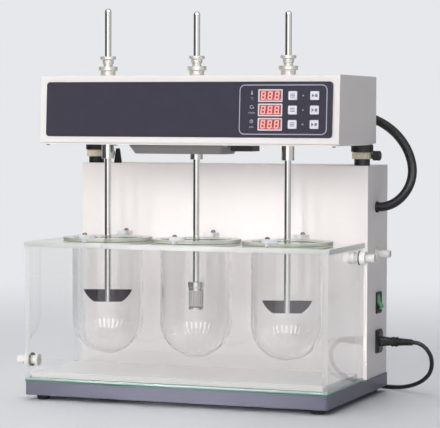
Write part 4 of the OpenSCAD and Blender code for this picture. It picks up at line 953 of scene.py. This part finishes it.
def drive_screws():
    """Pan-head screws that hold the column's back cover and the head's bottom plate. Each crossed slot is a
    thin dark slab on the head, painted shade where the slot's recess would be.
    """
    edge_x, inner_x, edge_z, inner_z, cover_y = 228, 76, (44, 140, 240, 340), (38, 346), 156.5
    plate_x, plate_y, plate_z = (-edge_x, -116, 60, edge_x), (-97, 78), 385.3
    slot, slot_low, slot_top, slot_turn = rounded(3.4, 0.7, 0.2), 1.5, 1.92, 0.4
    head = [(3.2, 0), (3.2, 0.7), (2.7, 1.3), (1.6, 1.75), (0, 1.9)]
    down = Matrix.Rotation(math.pi, 4, "X")
    rear = Matrix.Rotation(-math.pi / 2, 4, "X")
    spots = [(x, z) for x in (-edge_x, edge_x) for z in edge_z]
    spots += [(x, z) for x in (-inner_x, inner_x) for z in inner_z]
    cover = [Matrix.Translation((x, cover_y, z)) @ rear for x, z in spots]
    under = [Matrix.Translation((x, y, plate_z)) @ down for x in plate_x for y in plate_y]
    for name, body, places in (("cover_screws", "stand", cover), ("head_screws", "head", under)):
        bm = bmesh.new()
        for place in places:
            turned(bm, head, place, segments=20)
            # Each slot is a dark slab standing just above the head: painted shade, not a cut recess
            for turn in (0, math.pi / 2):
                across = place @ Matrix.Rotation(turn + slot_turn, 4, "Z")
                slab(bm, slot, slot_low, slot_top, across, number=1)
        made = piece(name, bm, [zinc_screw, slot_painted_shade], body, angle=50)


drive_screws()


# Studio: a pale floor, and soft light from the front left

PALE, AIR_TINT = "#E6E8EB", "#E9ECF9"
AIR = 0.20
WARM, CREAM, WHITE = (1.0, 0.985, 0.97), (1.0, 0.99, 0.98), (1.0, 1.0, 1.0)

# Lamps: place and aim in metres, width, height, watts, colour and spread in degrees
LAMPS = [(f"key_{name}", (x, y, 0.95), (0, 0, 0.25), 0.5, 1.5, 12.7, WARM, 180)
         for name, x, y in (("one", -2.58, -2.28), ("two", -2.2, -2.6), ("three", -1.82, -2.92))]
LAMPS += [(f"strip_{name}", (x, y, 1.35), (0, 0, 0.22), 0.14, 1.1, power, CREAM, 180)
          for name, x, y, power in (("one", -0.75, -2.7, 8), ("two", -0.15, -2.8, 8),
                                    ("three", 0.4, -2.75, 8), ("four", 0.9, -2.65, 7))]
LAMPS += [(f"low_fill_{name}", (x, y, 0.3), (0.02, 0.05, 0.07), 0.2, 0.2, 0.115, WHITE, 14)
          for name, x, y in (("one", -0.5, -2.45), ("two", -0.1, -2.5), ("three", 0.3, -2.5))]
LAMPS += [("top_softbox", (-0.3, 0.25, 2.6), (0, 0, 0.2), 1.4, 1.4, 22, WHITE, 180),
          ("back_fill", (-0.6, 2.8, 1.6), (0, 0, 0.3), 1.6, 1.6, 20, WHITE, 180)]

# Lights that glass and polished faces see. Each is a product of soft steps: what a step goes by, where it
# starts and stops, and its value at the start and at the stop
TO_CAMERA, TO_RIGHT = (0.354, -0.935, 0.0), (0.935, 0.354, 0.0)
STRIPS_TURN = 22.0
FRONT_LIGHT = [("facing", 0.79, 0.86, 0.0, 1.5), ("side", 0.42, 0.22, 0.0, 1.0)]
BACKDROP_LIGHT = [("facing", -0.5, -0.8, 0.0, 0.75), ("side", 0.15, -0.05, 0.0, 1.0)]
TOP_LIGHT = [("height", 0.5, 0.9, 0.0, 0.8)]
RIGHT_LIGHT = [("side", 0.15, 0.35, 0.10, 0.70), ("facing", -0.3, 0.3, 0.55, 1.0)]
SOFT_LIGHTS = [FRONT_LIGHT, BACKDROP_LIGHT, TOP_LIGHT, RIGHT_LIGHT]
TALL_STRIPS = [("strips", 0.35, 0.7, 0.0, 9.0), ("width", 0.9, 0.8, 0.0, 1.0),
               ("height", 0.10, 0.20, 0.0, 1.0), ("height", 0.85, 0.65, 0.0, 1.0)]


def brightness(tree, way, lights):
    """How bright the studio is along a direction, as the brightest of some lights."""
    facing = add(tree, "ShaderNodeVectorMath", {0: way, 1: TO_CAMERA}, operation="DOT_PRODUCT")
    side = add(tree, "ShaderNodeVectorMath", {0: way, 1: TO_RIGHT}, operation="DOT_PRODUCT")
    height = add(tree, "ShaderNodeSeparateXYZ", {0: way})
    turn = add(tree, "ShaderNodeMath", {0: side.outputs["Value"], 1: facing.outputs["Value"]},
               operation="ARCTAN2")
    width = add(tree, "ShaderNodeMath", {0: turn.outputs["Value"]}, operation="ABSOLUTE")
    many = add(tree, "ShaderNodeMath", {0: turn.outputs["Value"], 1: STRIPS_TURN}, operation="MULTIPLY")
    strips = add(tree, "ShaderNodeMath", {0: many.outputs["Value"]}, operation="COSINE")
    measures = {"facing": facing.outputs["Value"], "side": side.outputs["Value"],
                "height": height.outputs["Z"], "width": width.outputs["Value"],
                "strips": strips.outputs["Value"]}
    brightest = 0.0
    for steps in lights:
        light = 1.0
        for measure, start, stop, low, high in steps:
            step = add(tree, "ShaderNodeMapRange", {
                "Value": measures[measure], "From Min": start, "From Max": stop, "To Min": low,
                "To Max": high}, interpolation_type="SMOOTHSTEP")
            both = add(tree, "ShaderNodeMath", {0: light, 1: step.outputs["Result"]}, operation="MULTIPLY")
            light = both.outputs["Value"]
        both = add(tree, "ShaderNodeMath", {0: brightest, 1: light}, operation="MAXIMUM")
        brightest = both.outputs["Value"]
    return brightest


def mirror_rays(tree, ray):
    """1 for a ray that was mirrored. One that only went through glass counts as glossy too, but at a glossy
    depth of 0."""
    return add(tree, "ShaderNodeMath", {0: ray["Is Glossy Ray"], 1: ray["Glossy Depth"]},
               operation="MINIMUM").outputs["Value"]


def light_studio():
    """The lamps, and a world that is the backdrop to the camera, a room of lights to polished faces, and
    weak even air to all else."""
    world = bpy.data.worlds.new("studio")
    scene.world = world
    world.use_nodes = True
    t = world.node_tree
    t.nodes.clear()
    ray = add(t, "ShaderNodeLightPath").outputs
    way = add(t, "ShaderNodeTexCoord").outputs["Generated"]
    seen = add(t, "ShaderNodeMath", {0: ray["Is Camera Ray"], 1: ray["Is Transmission Ray"]},
               operation="MAXIMUM")
    strips = add(t, "ShaderNodeMath", {0: brightness(t, way, [TALL_STRIPS]), 1: 1.0}, operation="MAXIMUM")
    room = add(t, "ShaderNodeBackground", {
        "Color": linear("#FFFFFF"), "Strength": brightness(t, way, SOFT_LIGHTS + [TALL_STRIPS])})
    air = add(t, "ShaderNodeBackground", {"Color": linear(AIR_TINT), "Strength": AIR})
    backdrop = add(t, "ShaderNodeBackground", {"Color": linear(PALE), "Strength": strips.outputs["Value"]})
    direct = add(t, "ShaderNodeMixShader", {
        0: seen.outputs["Value"], 1: air.outputs["Background"], 2: backdrop.outputs["Background"]})
    both = add(t, "ShaderNodeMixShader", {
        0: mirror_rays(t, ray), 1: direct.outputs["Shader"], 2: room.outputs["Background"]})
    add(t, "ShaderNodeOutputWorld", {"Surface": both.outputs["Shader"]})
    for name, place, aim, wide, tall, power, colour, spread in LAMPS:
        data = bpy.data.lights.new(name, "AREA")
        data.shape = "RECTANGLE"
        data.size = wide
        data.size_y = tall
        data.energy = power
        data.color = colour
        data.spread = math.radians(spread)
        made = bpy.data.objects.new(name, data)
        scene.collection.objects.link(made)
        made.location = place
        made.rotation_euler = (Vector(aim) - Vector(place)).to_track_quat("-Z", "Y").to_euler()
        made.visible_camera = made.visible_glossy = made.visible_transmission = False


def lay_floor():
    """A pale floor that fades into the backdrop a metre or two out. Polished faces see the studio's lights
    in it."""
    near, far, radius = 0.6, 2.4, 20
    m, t, at = blank("pale_studio_floor")
    out = add(t, "ShaderNodeVectorMath", {0: at}, operation="LENGTH")
    fade = add(t, "ShaderNodeMapRange", {"Value": out.outputs["Value"], "From Min": near, "From Max": far},
               interpolation_type="SMOOTHSTEP")
    way = add(t, "ShaderNodeVectorMath", {0: at}, operation="NORMALIZE").outputs["Vector"]
    ray = add(t, "ShaderNodeLightPath").outputs
    bright = add(t, "ShaderNodeMix", {
        "Factor": mirror_rays(t, ray), "A": 1.0, "B": brightness(t, way, SOFT_LIGHTS)})
    cloth = add(t, "ShaderNodeBsdfPrincipled", {"Base Color": linear(PALE), "Roughness": 0.7})
    glow = add(t, "ShaderNodeEmission", {"Color": linear(PALE), "Strength": bright.outputs["Result"]})
    both = add(t, "ShaderNodeMixShader", {
        0: fade.outputs["Result"], 1: cloth.outputs["BSDF"], 2: glow.outputs["Emission"]})
    add(t, "ShaderNodeOutputMaterial", {"Surface": both.outputs["Shader"]})
    bm = bmesh.new()
    bmesh.ops.create_circle(bm, cap_ends=True, segments=96, radius=radius)
    mesh = bpy.data.meshes.new("studio_floor")
    bm.to_mesh(mesh)
    bm.free()
    linked("studio_floor", mesh, [m])


# Clear pieces cast no shadow and block no daylight, so that what they hold is lit
CLEAR = (acrylic, acrylic_floor, float_face_painted_reflection, flange_face, clamp_acrylic)
for thing in scene.objects:
    if any(slot.material in CLEAR for slot in thing.material_slots):
        thing.visible_shadow = False
        thing.visible_diffuse = False
light_studio()
lay_floor()
